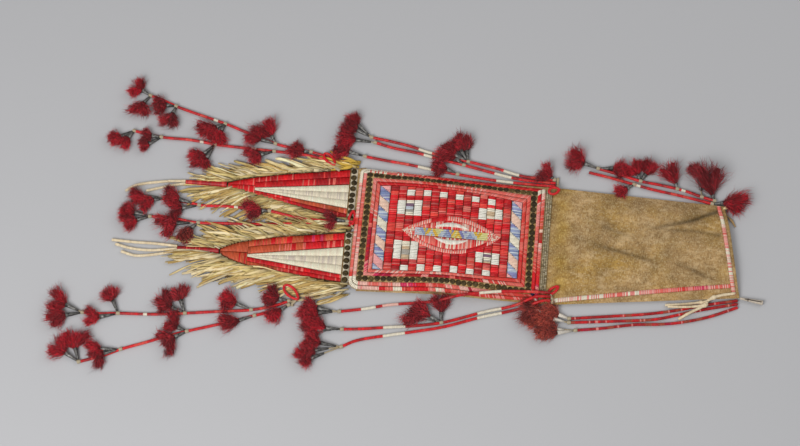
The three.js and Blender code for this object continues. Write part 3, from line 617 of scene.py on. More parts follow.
def route(points, diameter, step):
    """Smooth centreline of a cord through points of (x, y) or (x, y, height of the underside)."""
    centre = diameter / 2 + FLOOR_GAP
    knots = np.array([(x * MM, y * MM, sum(lift) * MM + centre) for x, y, *lift in points])
    ends = np.vstack([2 * knots[0] - knots[1], knots, 2 * knots[-1] - knots[-2]])
    t = np.linspace(0, 1, CURVE_STEPS, endpoint=False)[:, None]
    stretches = []
    for a, b, c, d in zip(ends, ends[1:], ends[2:], ends[3:]):
        before, along, after = np.sqrt([np.linalg.norm(q - p) for p, q in ((a, b), (b, c), (c, d))])
        leave = ((b - a) / before - (c - a) / (before + along) + (c - b) / along) * along
        arrive = ((c - b) / along - (d - b) / (along + after) + (d - c) / after) * along
        square = 3 * (c - b) - 2 * leave - arrive
        cube = 2 * (b - c) + leave + arrive
        stretches.append(b + leave * t + square * t**2 + cube * t**3)
    return evenly(np.vstack([*stretches, knots[-1:]]), step)


WRAP = 1.5 * MM
# Wraps are dyed in blocks: how many a block has, its four dyes and how often each is drawn
BLOCK_WRAPS = 5
WRAP_DYES = [RED, BRIGHT, DARK_RED, TOMATO]
DULL_WRAP_DYES = [DARK_RED, RED, RUST, CRIMSON]
WRAP_WEIGHTS = (0.44, 0.2, 0.28, 0.08)
SPECKLES = 0.06


def wrapped(bundle, line, radius, dyes, flat=1.0):
    """Tube whose quill wraps stand out as ridges, with painted shade in the grooves between them; two
    points of the line make a wrap.
    """
    ridge = np.arange(len(line)) % 2
    # Every second point is painted darker, as shade in the groove between wraps
    tube(bundle, line, radius * (0.9 + 0.1 * ridge), dyes * (0.55 + 0.45 * ridge)[:, None], 8, flat)


def thong_dyes(line, stretches, dull=False):
    """Red wraps of uneven shade, another dye where a stretch of x says so; dull ones are speckled."""
    wraps = len(line) // 2 + 1
    reds = np.array(DULL_WRAP_DYES if dull else WRAP_DYES)
    drawn = random.choice(len(reds), wraps // BLOCK_WRAPS + 1, p=WRAP_WEIGHTS)
    colours = reds[np.repeat(drawn, BLOCK_WRAPS)[:wraps]] * jitter(wraps, 0.12)
    if dull:
        colours[random.random(wraps) < SPECKLES] = PINK
    dyes = np.repeat(colours, 2, axis=0)[: len(line)]
    for low, high, colour in stretches:
        inside = (line[:, 0] > low * MM) & (line[:, 0] < high * MM)
        dyes[inside] = colour * jitter(len(line), 0.05)[inside]
    return dyes


CONE_LENGTH = 18 * MM
CONE_NECK = 0.9 * MM
CONE_MOUTH = 2.4 * MM
CONE_SHEET = 0.35 * MM
TUFT_SHOULDER = 11 * MM
TUFT_LENGTH = 27 * MM
FULL_TUFT_LENGTH = 26 * MM
TUFT_FLOOR = 0.4 * MM
TUFT_CEILING = 21 * MM
# A tuft's lobes: rows and columns of a lobe, how flat it is, its radius as a share of the tuft's
# length, and in degrees the usual and the most sweep of the whole tuft, the fan of its lobes and
# how far a lobe bends
LOBE_ROWS = 7
LOBE_COLUMNS = 9
LOBE_FLAT = 0.8
LOBE_RADIUS = 0.33
TUFT_SWEEP = 20
MOST_SWEEP = 26
LOBE_FAN = (10, 24)
LOBE_BEND = 45
# Hairs and wisps of a tuft: how many, how far from the spine as a share of the lobe's radius,
# the share of the lobe that they span, and their thickness
TUFT_HAIRS = (520, (0.35, 1), (0.2, 0.5), 0.6 * MM)
TUFT_WISPS = (180, (0.7, 1.5), (0.2, 0.55), 0.3 * MM)
# Knots, strings, and how far strings and tufts reach into a cone
KNOT_LENGTH = 4.5 * MM
KNOT_RADIUS = 0.55 * THONG
KNOT_LIFT = 0.6 * MM
STRING_RADIUS = 0.75 * MM
STRING_TUCK = 2 * MM
TUFT_TUCK = 1.5 * MM


def rolled_cone(bundle, apex, axis, length, mouth, colours):
    """Sheet tin rolled into a cone, with its edge lapped over itself."""
    columns = 15
    lap = 1.12 * TURN
    angles = np.linspace(0, lap, columns) + random.uniform(0, TURN)
    spiral = np.linspace(0, CONE_SHEET * 1.4, columns)
    side, rise = sides_of(axis)
    around = np.cos(angles)[:, None] * side + np.sin(angles)[:, None] * rise
    rows = len(colours)
    shares = np.linspace(0, 1, rows)
    rings = []
    for share in shares:
        radius = CONE_NECK + (mouth - CONE_NECK) * share
        middle = apex + axis * length * share
        outer = middle + (radius + spiral)[:, None] * around
        inner = middle + (radius + spiral - CONE_SHEET)[:, None] * around
        rings.append(np.concatenate([outer, inner[::-1]]))
    count = 2 * columns
    edge = np.arange(columns - 1)
    neck = np.column_stack([edge, edge + 1, count - 2 - edge, count - 1 - edge])
    dyes = np.broadcast_to(np.asarray(colours)[:, None], (rows, count, 3))
    rim = neck[:, ::-1] + (rows - 1) * count
    bundle.add(np.array(rings), dyes, skin(rows, count), neck, rim)


RED_HAIR = dye(230, 26, 48)
DULL_HAIR = dye(142, 52, 56)
BROWN_HAIR = dye(226, 100, 78)
OLD_HAIR = dye(132, 62, 48)
KNOT_DYE = dye(206, 196, 170)
STRING_DYE = dye(190, 176, 146)


def hair_tuft(bundle, root, axis, length, colour):
    """A soft tuft of hair: lobes that bend apart, each a core painted dark as the shade inside it, under
    long hairs and wisps.
    """
    side, rise = sides_of(axis)
    sweep = np.clip(random.normal(0, TUFT_SWEEP), -MOST_SWEEP, MOST_SWEEP)
    apart = min(1, TUFT_LENGTH / length)
    lobes = random.integers(2, 4)
    shares = np.linspace(0, 1, LOBE_ROWS)
    for place in np.linspace(-1, 1, lobes):
        fan = apart * place * random.uniform(*LOBE_FAN) + random.normal(0, 6)
        bend = sweep + apart * place * random.uniform(0, LOBE_BEND)
        angles = (fan + bend * shares)[:, None] * DEGREE
        ways = np.cos(angles) * axis + np.sin(angles) * side
        asides = np.cos(angles) * side - np.sin(angles) * axis
        steps = np.vstack([np.zeros(3), (ways[1:] + ways[:-1]) / 2]) / (LOBE_ROWS - 1)
        spine = root + length * random.uniform(0.6, 0.95) * np.cumsum(steps, axis=0)
        radii = (LOBE_RADIUS - 0.03 * lobes) * length * (0.25 + 0.75 * smoothstep(shares, 0, 0.6))
        lobe = Lobe(spine, ways, asides, rise, radii)
        darkened = colour + (0.45 * DULL_HAIR - colour) * random.uniform(0, 0.6)
        tone = darkened * random.uniform(0.9, 1.2)
        # The core is painted dark, as the shade deep inside the lobe
        lobe.core(bundle, 0.55 * tone)
        # Wisps at the tuft's edge are painted lighter, a painted highlight; the hairs inside keep their
        # tone
        for (hairs, *build), shade in ((TUFT_HAIRS, 1), (TUFT_WISPS, 1.15)):
            lobe.hairs(bundle, round(hairs / lobes), *build, shade * tone)


class Lobe:
    """One lobe of a tuft: a bent spine with its directions and its radii."""

    def __init__(self, spine, ways, asides, rise, radii):
        self.spine = spine
        self.ways = ways
        self.asides = asides
        self.rise = rise
        self.radii = radii
        self.length = np.linalg.norm(np.diff(spine, axis=0), axis=1).sum()

    def core(self, bundle, colour):
        """Fluted heart of the lobe, where the hairs lie too close to be seen apart, painted dark as the
        shade inside the tuft.
        """
        rows = len(self.spine)
        angles = np.arange(LOBE_COLUMNS)[:, None] * TURN / LOBE_COLUMNS
        around = np.cos(angles) * self.asides[:, None] + LOBE_FLAT * np.sin(angles) * self.rise
        flutes = 1 + 0.2 * random.standard_normal((1, LOBE_COLUMNS))
        flutes = flutes + 0.12 * random.standard_normal((rows, LOBE_COLUMNS))
        taper = 0.66 - 0.36 * smoothstep(np.linspace(0, 1, rows), 0.5, 1)
        rings = self.spine[:, None] + ((taper * self.radii)[:, None] * flutes)[..., None] * around
        rings[..., 2] = np.clip(rings[..., 2], TUFT_FLOOR, TUFT_CEILING)
        streaks = random.uniform(0.6, 1.2, (1, LOBE_COLUMNS, 1)) * jitter(rows, 0.1)[:, None]
        loft(bundle, rings, colour * streaks)

    def at(self, values, share):
        rows = np.linspace(0, 1, len(values))
        return np.column_stack([np.interp(share, rows, values[:, i]) for i in range(3)])

    def place(self, share, spin, reach):
        """Points about the spine, and past its end where a share is over one."""
        out = np.cos(spin) * self.at(self.asides, share) + LOBE_FLAT * np.sin(spin) * self.rise
        radii = np.interp(share, np.linspace(0, 1, len(self.radii)), self.radii)[:, None]
        past = np.clip(share - 1, 0, None)[:, None] * self.length * self.ways[-1]
        return self.at(self.spine, share) + past + reach * radii * out

    def hairs(self, bundle, count, reaches, spans, thick, colour):
        """Fine hairs along the lobe, each a thin spindle from its root to its tip."""
        start = random.uniform(0, 0.82, count)
        span = random.uniform(*spans, count)
        spin = random.uniform(0, TURN, (count, 1))
        reach = random.uniform(*reaches, (count, 1))
        flare = random.normal(0.25, 0.3, (count, 1))
        loose = 0.05 * self.length
        root = self.place(start, spin, 0.8 * reach)
        middle = self.place(start + 0.5 * span, spin, reach)
        middle += 0.5 * loose * random.standard_normal((count, 3))
        tip = self.place(start + span, spin + flare, (1 + flare) * reach)
        tip += loose * random.standard_normal((count, 3))
        low = TUFT_FLOOR + MM * random.random(count)
        for points in (root, middle, tip):
            points[:, 2] = np.clip(points[:, 2], low, TUFT_CEILING)
        way = unit(tip - root)
        across = unit(np.cross(way, random.standard_normal((count, 3))))
        over = np.cross(across, way)
        angles = np.arange(3)[:, None] * TURN / 3
        around = np.cos(angles) * across[:, None] + np.sin(angles) * over[:, None]
        waist = middle[:, None] + thick / 2 * around
        points = np.concatenate([waist, root[:, None], tip[:, None]], axis=1)
        patches = 1 + 0.4 * np.sin(spin + 5 * start[:, None] + random.uniform(0, TURN))
        tone = patches * np.exp(random.normal(0, 0.35, (count, 1)))
        # Painted shade at each hair's root, deep in the tuft, and a painted highlight at its tip
        along = np.array([1, 1, 1, 0.6, 1.2])
        paint = (colour * tone)[:, None] * along[None, :, None]
        walls = np.array([[0, 4, 1], [1, 4, 2], [2, 4, 0], [1, 3, 0], [2, 3, 1], [0, 3, 2]])
        first = np.arange(count)[:, None, None] * 5
        bundle.add(points, paint, (walls + first).reshape(-1, 3))


def sinew_knot(bundle, middle, ahead):
    """A few turns of sinew around a thong, with painted shade between the turns."""
    count = 9
    raised = middle + np.array([0, 0, KNOT_LIFT])
    line = raised + np.linspace(-0.5, 0.5, count)[:, None] * ahead * KNOT_LENGTH
    swell = np.sin(np.linspace(0.25, math.pi - 0.25, count))
    ridge = np.arange(count) % 2
    # Every second ring is painted darker, as shade between the turns
    colours = KNOT_DYE * (0.7 + 0.3 * ridge)[:, None]
    tube(bundle, line, KNOT_RADIUS * (0.75 + 0.35 * swell) * (1 + 0.12 * ridge), colours)


DULL_TIN = dye(200, 198, 194)
PALE_TIN = dye(240, 238, 232)


def arm_of(heading, reach, lift=0.0, fullness=1.0, browned=0.0):
    """One arm of a tassel, with its heading in radians and its lengths in metres."""
    return heading * DEGREE, reach * MM, lift * MM, fullness, browned


def hang_tassels(name, line, tassels, hair, metal, tin, size):
    """The knots, cones and tufts of one thong, as three pieces."""
    knots, cones, tufts = Bundle(), Bundle(), Bundle()
    places = travelled(line)
    whole = places[-1]
    for distance, arms in tassels:
        at = np.clip(distance * MM / whole, KNOT_MARGIN, 1 - KNOT_MARGIN) * whole
        index = int(np.clip(np.searchsorted(places, at), 1, len(line) - 1))
        knot = line[index]
        sinew_knot(knots, knot, unit(line[index] - line[index - 1]))
        for angle, reach, lift, fullness, browned in (arm_of(*arm) for arm in arms):
            rise = TUFT_RISE + lift - knot[2]
            axis = unit(np.array([math.cos(angle) * reach, math.sin(angle) * reach, rise]))
            mouth = max(reach - TUFT_SHOULDER, 0.55 * reach)
            cone = min(CONE_LENGTH * random.uniform(0.85, 1.05), mouth - 1 * MM)
            string = knot + np.linspace(0, mouth - cone + STRING_TUCK, 4)[:, None] * axis
            tube(knots, string, STRING_RADIUS, STRING_DYE, 6)
            wide = CONE_MOUTH * random.uniform(0.9, 1.1)
            # Painted shade at the cone's neck, rising to a painted sheen towards its mouth, row by row
            neck_shade_and_sheen = tin * jitter(1, 0.15)[0] * np.array([[0.75], [0.95], [1], [1.1]])
            rolled_cone(cones, knot + axis * (mouth - cone), axis, cone, wide, neck_shade_and_sheen)
            length = size * fullness * random.uniform(0.85, 1.1)
            faded = hair + (DULL_HAIR - hair) * random.uniform(0, 0.55)
            colour = faded + (OLD_HAIR - faded) * browned
            hair_tuft(tufts, knot + axis * (mouth - TUFT_TUCK), axis, length, colour)
    return [
        knots.make(f"{name}_knots", SINEW, "straw_hide"),
        cones.make(f"{name}_cones", metal, "tin"),
        tufts.make(f"{name}_tufts", TUFTS, "tuft_hair"),
    ]


# Each pendant, in millimetres: its route from the bag outwards, and its tassels as
# (distance along the thong, [arms]), an arm being its heading in degrees, its reach to the
# tuft's middle, and its extra height, its fullness and how brown it is where it has any
PENDANTS = {
    "upper_tab_pendant_1": ([
        (-152, 94), (-164, 98), (-193, 104), (-215, 107), (-258, 121), (-283, 130), (-346, 149),
        (-368, 158), (-382, 162),
    ], [
        (26, [(-175, 16)]),
        (71, [(121, 20), (170, 29)]),
        (138, [(-150, 22), (-110, 21)]),
        (204, [(-179, 22), (-105, 20)]),
        (END, [(152, 22), (-123, 23)]),
    ]),
    "upper_tab_pendant_2": ([
        (-152.6, 89, 1.8), (-164, 92.5, 1.4), (-177, 95.5, 0.4), (-212, 98), (-257, 100),
        (-291, 102), (-326, 106), (-360, 107), (-396, 113),
    ], [
        (70, [(-154, 29, 3)]),
        (143, [(-130, 30), (-112, 33)]),
        (210, [(-179, 22, 0, 0.7), (-141, 29, 0, 0.65)]),
        (END, [(-148, 29), (-119, 22, 0, 0.8)]),
    ]),
    "panel_upper_pendant_1": ([
        (121.4, 86), (82, 88), (62, 92.5), (51, 95.5), (14, 102.5), (-21, 108.5), (-38, 112),
        (-55, 117), (-80, 122), (-106, 126),
    ], [
        (0, [(150, 9, 0, 0.8)]),
        (108, [(127, 28), (102, 25), (158, 30)]),
        (END, [(140, 34), (158, 31)]),
    ]),
    "panel_upper_pendant_2": ([
        (121.4, 81.7), (82, 83.3), (67, 85.3), (39, 91), (6, 98), (-20, 103), (-47, 109), (-79, 114),
        (-101, 119.5),
    ], [
        (113, [(146, 24)]),
        (END, [(178, 35)]),
    ]),
    "panel_upper_pendant_3": ([
        (121.4, 77.4), (74, 78.5), (42, 80.5), (3, 84.5), (-25, 88), (-57, 93), (-83, 96),
        (-112, 100),
    ], [
        (119, [(158, 25)]),
        (END, [(170, 31)]),
    ]),
    "mouth_upper_pendant_1": ([
        (314, 72.9), (295, 78), (277, 83.5), (247, 89), (225, 92), (198, 99), (172, 105),
    ], [
        (0, [(113, 14, 1, 1.55)]),
        (16, [(101, 36, 0, 0.85)]),
        (47, [(112, 13, 0, 1.15)]),
        (92, [(58, 19, 0, 1), (118, 16, 0, 1)]),
        (END, [(165, 29, 0, 1.2), (2, 29, 0, 0.95)]),
    ]),
    "mouth_upper_pendant_2": ([
        (312, 68.6), (296, 72), (267, 77.5), (240, 82), (217, 87), (187, 94), (161, 99),
    ], [
        (0, [(4, 24, 0, 1.25)]),
        (97, [(-145, 20, 0, 0.8)]),
    ]),
    "middle_pendant_1": ([
        (-108.7, 12, 4.2), (-146, 11.5, 2.4), (-173, 12, 2.2), (-192, 14, 2.2), (-219, 19, 2.2),
        (-251, 21, 1.2), (-274, 22), (-304, 21), (-315, 23), (-348, 27),
    ], [
        (16, [(177, 24, 4, 0.75)]),
        (111, [(-172, 18, 3, 1.2)]),
        (197, [(-163, 32), (169, 36)]),
        (END, [(180, 36), (-165, 24)]),
    ]),
    "middle_pendant_2": ([
        (-108.7, 6.5), (-125, 6.5, 1), (-150, 6.5, 2.2), (-170, 6.5, 2.2), (-229, 1, 2.2),
        (-271, -1, 2.2), (-304, -2, 1), (-344, 3), (-363, 2),
    ], [
        (195, [(-173, 37), (-133, 20, 0, 1.15, 0.8)]),
        (END, [(172, 30), (-158, 27)]),
    ]),
    "lower_tab_pendant_1": ([
        (-184.2, -92), (-201, -99.5), (-229, -107), (-268, -112), (-306, -117), (-342, -121),
        (-385, -123), (-407, -125), (-427, -125),
    ], [
        (1, [(177, 22)]),
        (47, [(163, 30, 0, 1.35)]),
        (125, [(162, 28), (113, 28)]),
        (203, [(119, 28), (-162, 33)]),
        (END, [(160, 33), (-164, 31)]),
    ]),
    "lower_tab_pendant_2": ([
        (-184.2, -97), (-199, -105), (-225, -114), (-263, -127), (-301, -139), (-327, -148),
        (-347, -156), (-376, -167), (-395, -176), (-423, -186),
    ], [
        (0, [(-141, 20)]),
        (43, [(-155, 30)]),
        (124, [(162, 22), (-147, 27)]),
        (204, [(-175, 34, 0, 0.9), (-160, 31, 0, 0.8)]),
        (END, [(152, 30), (112, 28)]),
    ]),
    "panel_lower_pendant_1": ([
        (120.9, -63.5, 9.9), (116, -63.6, 11.6), (68, -65.5, 11.6), (40, -69.5, 11.6),
        (15, -74.5, 11.6), (4, -77.8, 11), (-10, -80.5, 5), (-24, -82.5, 1.2), (-40, -84.5, 0.2),
        (-69, -89), (-95, -95.5), (-126, -101.5),
    ], [
        (END, [(177, 37), (-170, 36)]),
    ]),
    "panel_lower_pendant_2": ([
        (120.9, -68, 9.9), (116, -68.3, 11.6), (104, -69.5, 11.6), (95, -73.8, 11.4), (84, -78.5, 6),
        (69, -82.5, 1.2), (55, -86, 0.2), (42, -90), (-2, -105.5), (-36, -112.5), (-63, -116),
        (-99, -121), (-121, -123),
    ], [
        (134, [(168, 34), (155, 26), (94, 22)]),
        (END, [(-172, 40), (-178, 30)]),
    ]),
    "panel_lower_pendant_3": ([
        (120.9, -72.5, 9), (116, -73, 11), (108, -75.2, 10.5), (97, -79, 6), (84, -83.3, 1.5),
        (70, -87.5, 0.3), (41, -96), (-1, -111), (-33, -119), (-64, -126), (-103, -136),
        (-120, -145),
    ], [
        (END, [(-166, 42), (-153, 49), (175, 35)]),
    ]),
    "mouth_lower_pendant_1": ([
        (342, -52.6), (298, -62.5), (271, -70), (238, -77), (181, -85), (144, -90),
    ], [
        (END, [(165, 24), (172, 51, 2, 1.25)]),
    ]),
    "mouth_lower_pendant_2": ([
        (342, -56.9), (298, -68), (251, -82), (238, -84.5), (181, -91), (144, -95),
    ], [
        (END, [(176, 41), (171, 32)]),
    ]),
    "mouth_lower_pendant_3": ([
        (342, -61.2), (307, -76), (275, -85), (251, -89), (220, -92), (184, -99), (152, -104),
    ], [
        (END, [(-178, 40), (-166, 33)]),
    ]),
}

# Stretches of a pendant that are wrapped in another colour: from x, to x in millimetres, colour
STRETCHES = {
    "panel_upper_pendant_1": [(-47, -30, CREAM), (58, 77, CREAM)],
    "panel_upper_pendant_2": [(-40, -30, CREAM), (47, 68, CREAM)],
    "panel_upper_pendant_3": [(-46, -30, CREAM), (50, 70, CREAM)],
    "panel_lower_pendant_1": [(-100, -83, CREAM), (-75, -57, BLUSH), (37, 63, CREAM)],
    "panel_lower_pendant_2": [(-72, -46, CREAM), (37, 65, CREAM)],
    "panel_lower_pendant_3": [(-72, -46, CREAM), (37, 65, CREAM)],
    "upper_tab_pendant_1": [(-300, -295, CREAM)],
    "upper_tab_pendant_2": [(-314, -309, CREAM), (-250, -244, CREAM)],
    "middle_pendant_1": [(-263, -258, CREAM)],
    "lower_tab_pendant_1": [(-355, -350, CREAM)],
    "mouth_upper_pendant_1": [(273, 278, CREAM)],
    "mouth_upper_pendant_2": [(219, 224, CREAM)],
}

# Bare hide thongs, in millimetres
TIES = {
    "upper_tip_thong_1": [(-325, 51.6), (-350, 49), (-385, 41), (-396, 33)],
    "upper_tip_thong_2": [(-325, 48.4), (-349, 42), (-371, 35)],
    "lower_tip_thong_1": [(-325, -33.2), (-352, -32), (-376, -32), (-404, -31)],
    "lower_tip_thong_2": [(-325, -36.4), (-357, -41), (-381, -40), (-399, -36)],
    "lower_tip_thong_3": [(-325, -39.6), (-356, -47), (-374, -49), (-391, -45)],
    "mouth_tie_long": [
        (338, -46, 6.6), (322, -49.5, 6.2), (312, -53.2, 5.6), (304, -57.5, 2.5), (293, -59.3, 0.3),
        (274, -62.5), (257, -64.5),
    ],
    "mouth_tie_short": [(306, -60.5, 4.4), (298, -66, 4.4), (286, -73, 4.4), (273, -81, 0.5)],
}

TIE_STEP = 1.2 * MM
TIE_DYE = dye(232, 218, 190)
# Where a tie is knotted, by its x, the reach of such a knot, and the bight that a tie leaves
KNOT_REACH = 2.2 * MM
TIE_KNOTS = {"mouth_tie_long": [313, 299], "mouth_tie_short": [303]}
TIE_BIGHTS = {
    "mouth_tie_long": [
        (306, -58.5, 4.5), (300, -63, 4.5), (288, -65.5, 4.2), (272, -66.7, 3), (260, -66.2, 0.5),
    ],
}


def add_pendants():
    """Thongs wrapped in quills, with their knots, cones and tufts."""
    for name, (points, tassels) in PENDANTS.items():
        line, length = route(points, THONG, WRAP / 2)
        bundle = Bundle()
        brown = name.startswith("mouth_lower")
        wrapped(bundle, line, THONG / 2, thong_dyes(line, STRETCHES.get(name, []), brown))
        thong = bundle.make(f"{name}_thong", QUILLS, "red_quill", name)
        look = RED_HAIR, TIN, DULL_TIN, TUFT_LENGTH
        if brown:
            look = BROWN_HAIR, SINEW, PALE_TIN, FULL_TUFT_LENGTH
        hung = hang_tassels(name, line, tassels, *look)


def add_ties():
    """Thongs of bare hide, thick where they are knotted."""
    for name, points in TIES.items():
        line, length = route(points, TIE, TIE_STEP)
        wave = np.sin(np.arange(len(line)) * 0.9 + random.uniform(0, TURN))
        swell = 1 + 0.06 * wave
        for x in TIE_KNOTS.get(name, []):
            swell = swell + 0.75 * np.exp(-(((line[:, 0] - x * MM) / KNOT_REACH) ** 2))
        tie = tie_piece(f"{name}_strip", line, swell, name)
        bights = []
        if name in TIE_BIGHTS:
            bight, _ = route(TIE_BIGHTS[name], TIE, TIE_STEP)
            bights = [tie_piece(f"{name}_bight", bight, np.full(len(bight), 0.9))]


def tie_piece(name, line, swell, *nodes):
    """A strip of bare hide along a line, thicker where it swells."""
    bundle = Bundle()
    tube(bundle, line, TIE / 2 * swell, TIE_DYE * jitter(len(line), 0.07))
    return bundle.make(name, STRAW, "straw_hide", *nodes)


add_pendants()
add_ties()


# Pouch

# Creases of the loose front: depth, and a line of places as (x, y, strength), in millimetres
CREASES = [
    (3.2 * MM, [(318, 59.5, 0.9), (285.5, 43.1, 1), (249.2, 31.5, 0.7), (230, 28, 0)]),
    (2.4 * MM, [(250, 31, 0.3), (256.6, 28.2, 0.8), (293, 28.8, 0.8), (318.4, 26.9, 1)]),
    (2.6 * MM, [(157.2, 5.9, 0.1), (195.6, -3, 1), (228.5, -11.2, 0.9), (244.8, -13.9, 0.1)]),
    (2.3 * MM, [(245, -12, 0.2), (275.5, -16.4, 0.6), (296, -24, 0.9), (322, -36, 0)]),
    (1.6 * MM, [(172, 31, 0), (180.7, 27.3, 0.8), (200, 19.8, 0.8), (215, 12, 0)]),
    (1.6 * MM, [(165, -53, 0), (200, -50, 0.8), (245, -52, 0)]),
]
CREASE_FOLD = 2.6 * MM
CREASE_VALLEY = 9 * MM
# Depth at which a crease's painted shade is darkest
CREASE_SHADE_DEPTH = 3 * MM
# Columns of the pouch's mesh over its front and over its back
FRONT_COLUMNS = 111
BACK_COLUMNS = 21


def pouch_plan(share, across, inset=0.0):
    """Plan place in the loose part of the pouch, from its foot to its mouth and edge to edge."""
    half = POUCH_HALF + (MOUTH_HALF - POUCH_HALF) * share - 2 * inset
    stretch = MOUTH_STRETCH * smoothstep(share, 0.7, 1) * smoothstep(across, -1, 1)
    x = SWELL_X + (MOUTH_X - SWELL_X) * share - across * MOUTH_SLANT * share / 2 + stretch
    return x, MOUTH_SHIFT * share + across * half


def creases(x, y):
    """How far the creases press the front in, and how dark they are painted as shade."""
    dip = np.zeros(np.broadcast(x, y).shape)
    dark = np.zeros(dip.shape)
    for depth, places in CREASES:
        places = np.array(places) * (MM, MM, 1)
        for a, b in zip(places, places[1:]):
            way = (b - a)[:2]
            share = np.clip(((x - a[0]) * way[0] + (y - a[1]) * way[1]) / (way @ way), 0, 1)
            distance = np.hypot(x - a[0] - share * way[0], y - a[1] - share * way[1])
            strength = depth * (a[2] + (b[2] - a[2]) * share)
            fold = np.exp(-((distance / CREASE_FOLD) ** 2))
            valley = np.exp(-((distance / CREASE_VALLEY) ** 2))
            dip = np.maximum(dip, strength * (0.5 * fold + 0.5 * valley))
            # Painted shade along each crease, strongest on its fold and softer over its valley
            dark = np.maximum(dark, strength / CREASE_SHADE_DEPTH * (0.55 * fold + 0.3 * valley))
    return dip, dark


def ripple(x, y):
    """Low swells of soft hide, between -1 and 1."""
    return (
        0.5 * np.sin(31 * x + 47 * y + 0.6) * np.cos(58 * y - 22 * x)
        + 0.3 * np.sin(96 * x - 71 * y + 1.9)
        + 0.2 * np.sin(150 * y + 122 * x + 0.4))


def pouch_front(share, across, inset=0.0):
    """Point of the loose front, or of its lining when inset by the hide."""
    x, y = pouch_plan(share, across, inset)
    rise = smoothstep(share, 0, 0.45) * (SWELL_HEIGHT - SEAT_HEIGHT)
    fall = smoothstep(share, 0.55, 1) * (SWELL_HEIGHT - MOUTH_HEIGHT)
    height = SEAT_HEIGHT + rise - fall
    crown = 1 - np.abs(across) ** (5 - 2.4 * smoothstep(share, 0, 0.3))
    loose = smoothstep(share, 0.02, 0.2) * crown
    dip = creases(x, y)[0] * np.minimum(1, 2.5 * crown) - POUCH_RIPPLE * ripple(x, y) * loose
    z = EDGE_HEIGHT + (height - EDGE_HEIGHT) * crown - dip - inset
    return np.stack(np.broadcast_arrays(x, y, z), -1)


def seat_front(x, height, across, inset=0.0):
    """Point of the front under the panel, at a place along the bag."""
    edge = min(EDGE_HEIGHT, 0.9 * height)
    crown = 1 - np.abs(across) ** 5
    drawn = POUCH_DENT * np.exp(-(((x - POUCH_DENT_X) / POUCH_DENT_REACH) ** 2))
    y = across * (POUCH_HALF - 2 * inset - drawn * np.clip(-across, 0, 1))
    return np.stack(np.broadcast_arrays(x, y, edge + (height - edge) * crown - inset), -1)


def add_pouch():
    """The sleeve: its outside from the foot to the mouth, and its lining back to the foot."""
    across = np.sin(np.linspace(-0.5, 0.5, FRONT_COLUMNS) * math.pi)
    under = np.sin(np.linspace(0.5, -0.5, BACK_COLUMNS) * math.pi)[1:-1]
    shares = np.concatenate([np.linspace(0, 0.96, 116), np.linspace(0.97, 1, 6)])
    seats = [(POUCH_FOOT_X + FOOT_SLOPE * t, FOOT_HEIGHT + (SEAT_HEIGHT - FOOT_HEIGHT) * t)
             for t in (0.35, 0.7, 1)]
    seats += [(x, SEAT_HEIGHT) for x in np.linspace(-70 * MM, 105 * MM, 8)]

    def ring(top, low):
        floor = low + (EDGE_HEIGHT - low) * 0.55 * np.abs(under) ** 9
        mirror = np.interp(under, across, top[:, 0]), np.interp(under, across, top[:, 1])
        return np.concatenate([top, np.column_stack([*mirror, floor])])

    rings = [ring(seat_front(POUCH_FOOT_X, FOOT_HEIGHT, across), 0)]
    rings += [ring(seat_front(x, height, across), 0) for x, height in seats]
    rings += [ring(pouch_front(share, across), 0) for share in shares]
    rings += [ring(pouch_front(share, across, HIDE), HIDE) for share in shares[::-1]]
    lined = [(x, height) for x, height in seats[::-1] if x > LINING_FOOT_X]
    rings += [ring(seat_front(x, height, across, HIDE), HIDE) for x, height in lined]
    rings = np.array(rings)
    x, y = rings[..., 0], rings[..., 1]
    # Painted shade darkens the hide along the creases; the tone also follows a stretched copy of the
    # swells' wave
    tone = 0.95 - 0.75 * creases(x, y)[1] + 0.09 * ripple(x * 1.1, y * 1.3)
    dyes = np.repeat(tone[..., None], 3, axis=-1)
    near = np.exp(-(((x - STAIN_X) / STAIN_REACH) ** 2))
    stain = near * np.clip(0.6 + 0.6 * ripple(y * 2, x), 0, 1)
    dyes = dyes * (1 - stain[..., None] * np.array([0.05, 0.1, 0.5]))
    bundle = Bundle()
    loft(bundle, rings, np.clip(dyes, 0, 1))
    pouch = bundle.make("pouch", SUEDE, "suede_hide", "pouch_front", "pouch_back")


add_pouch()


# Folded quills

FOLD_ROWS = np.array([0, 0.2, 0.8, 1])
FOLD_RISE = np.array([0.42, 1, 1, 0.42])
FOLD_COLUMNS = np.array([0, 0.07, 0.5, 0.93, 1])
FOLD_DOME = np.array([0, 0.84, 1, 0.84, 0])
# Painted shade of a fold along it and across it: darker at its ends and sides where it dips into the
# grooves, with a slight painted highlight just past its middle
FOLD_SHADE = np.array([0.74, 1, 1.03, 0.8])
FOLD_EDGE_SHADE = np.array([0.76, 0.98, 1, 0.98, 0.76])
FOLD_RIM = np.array([[0, 1, 2, 3, 4, 9, 14, 19, 18, 17, 16, 15, 10, 5]])


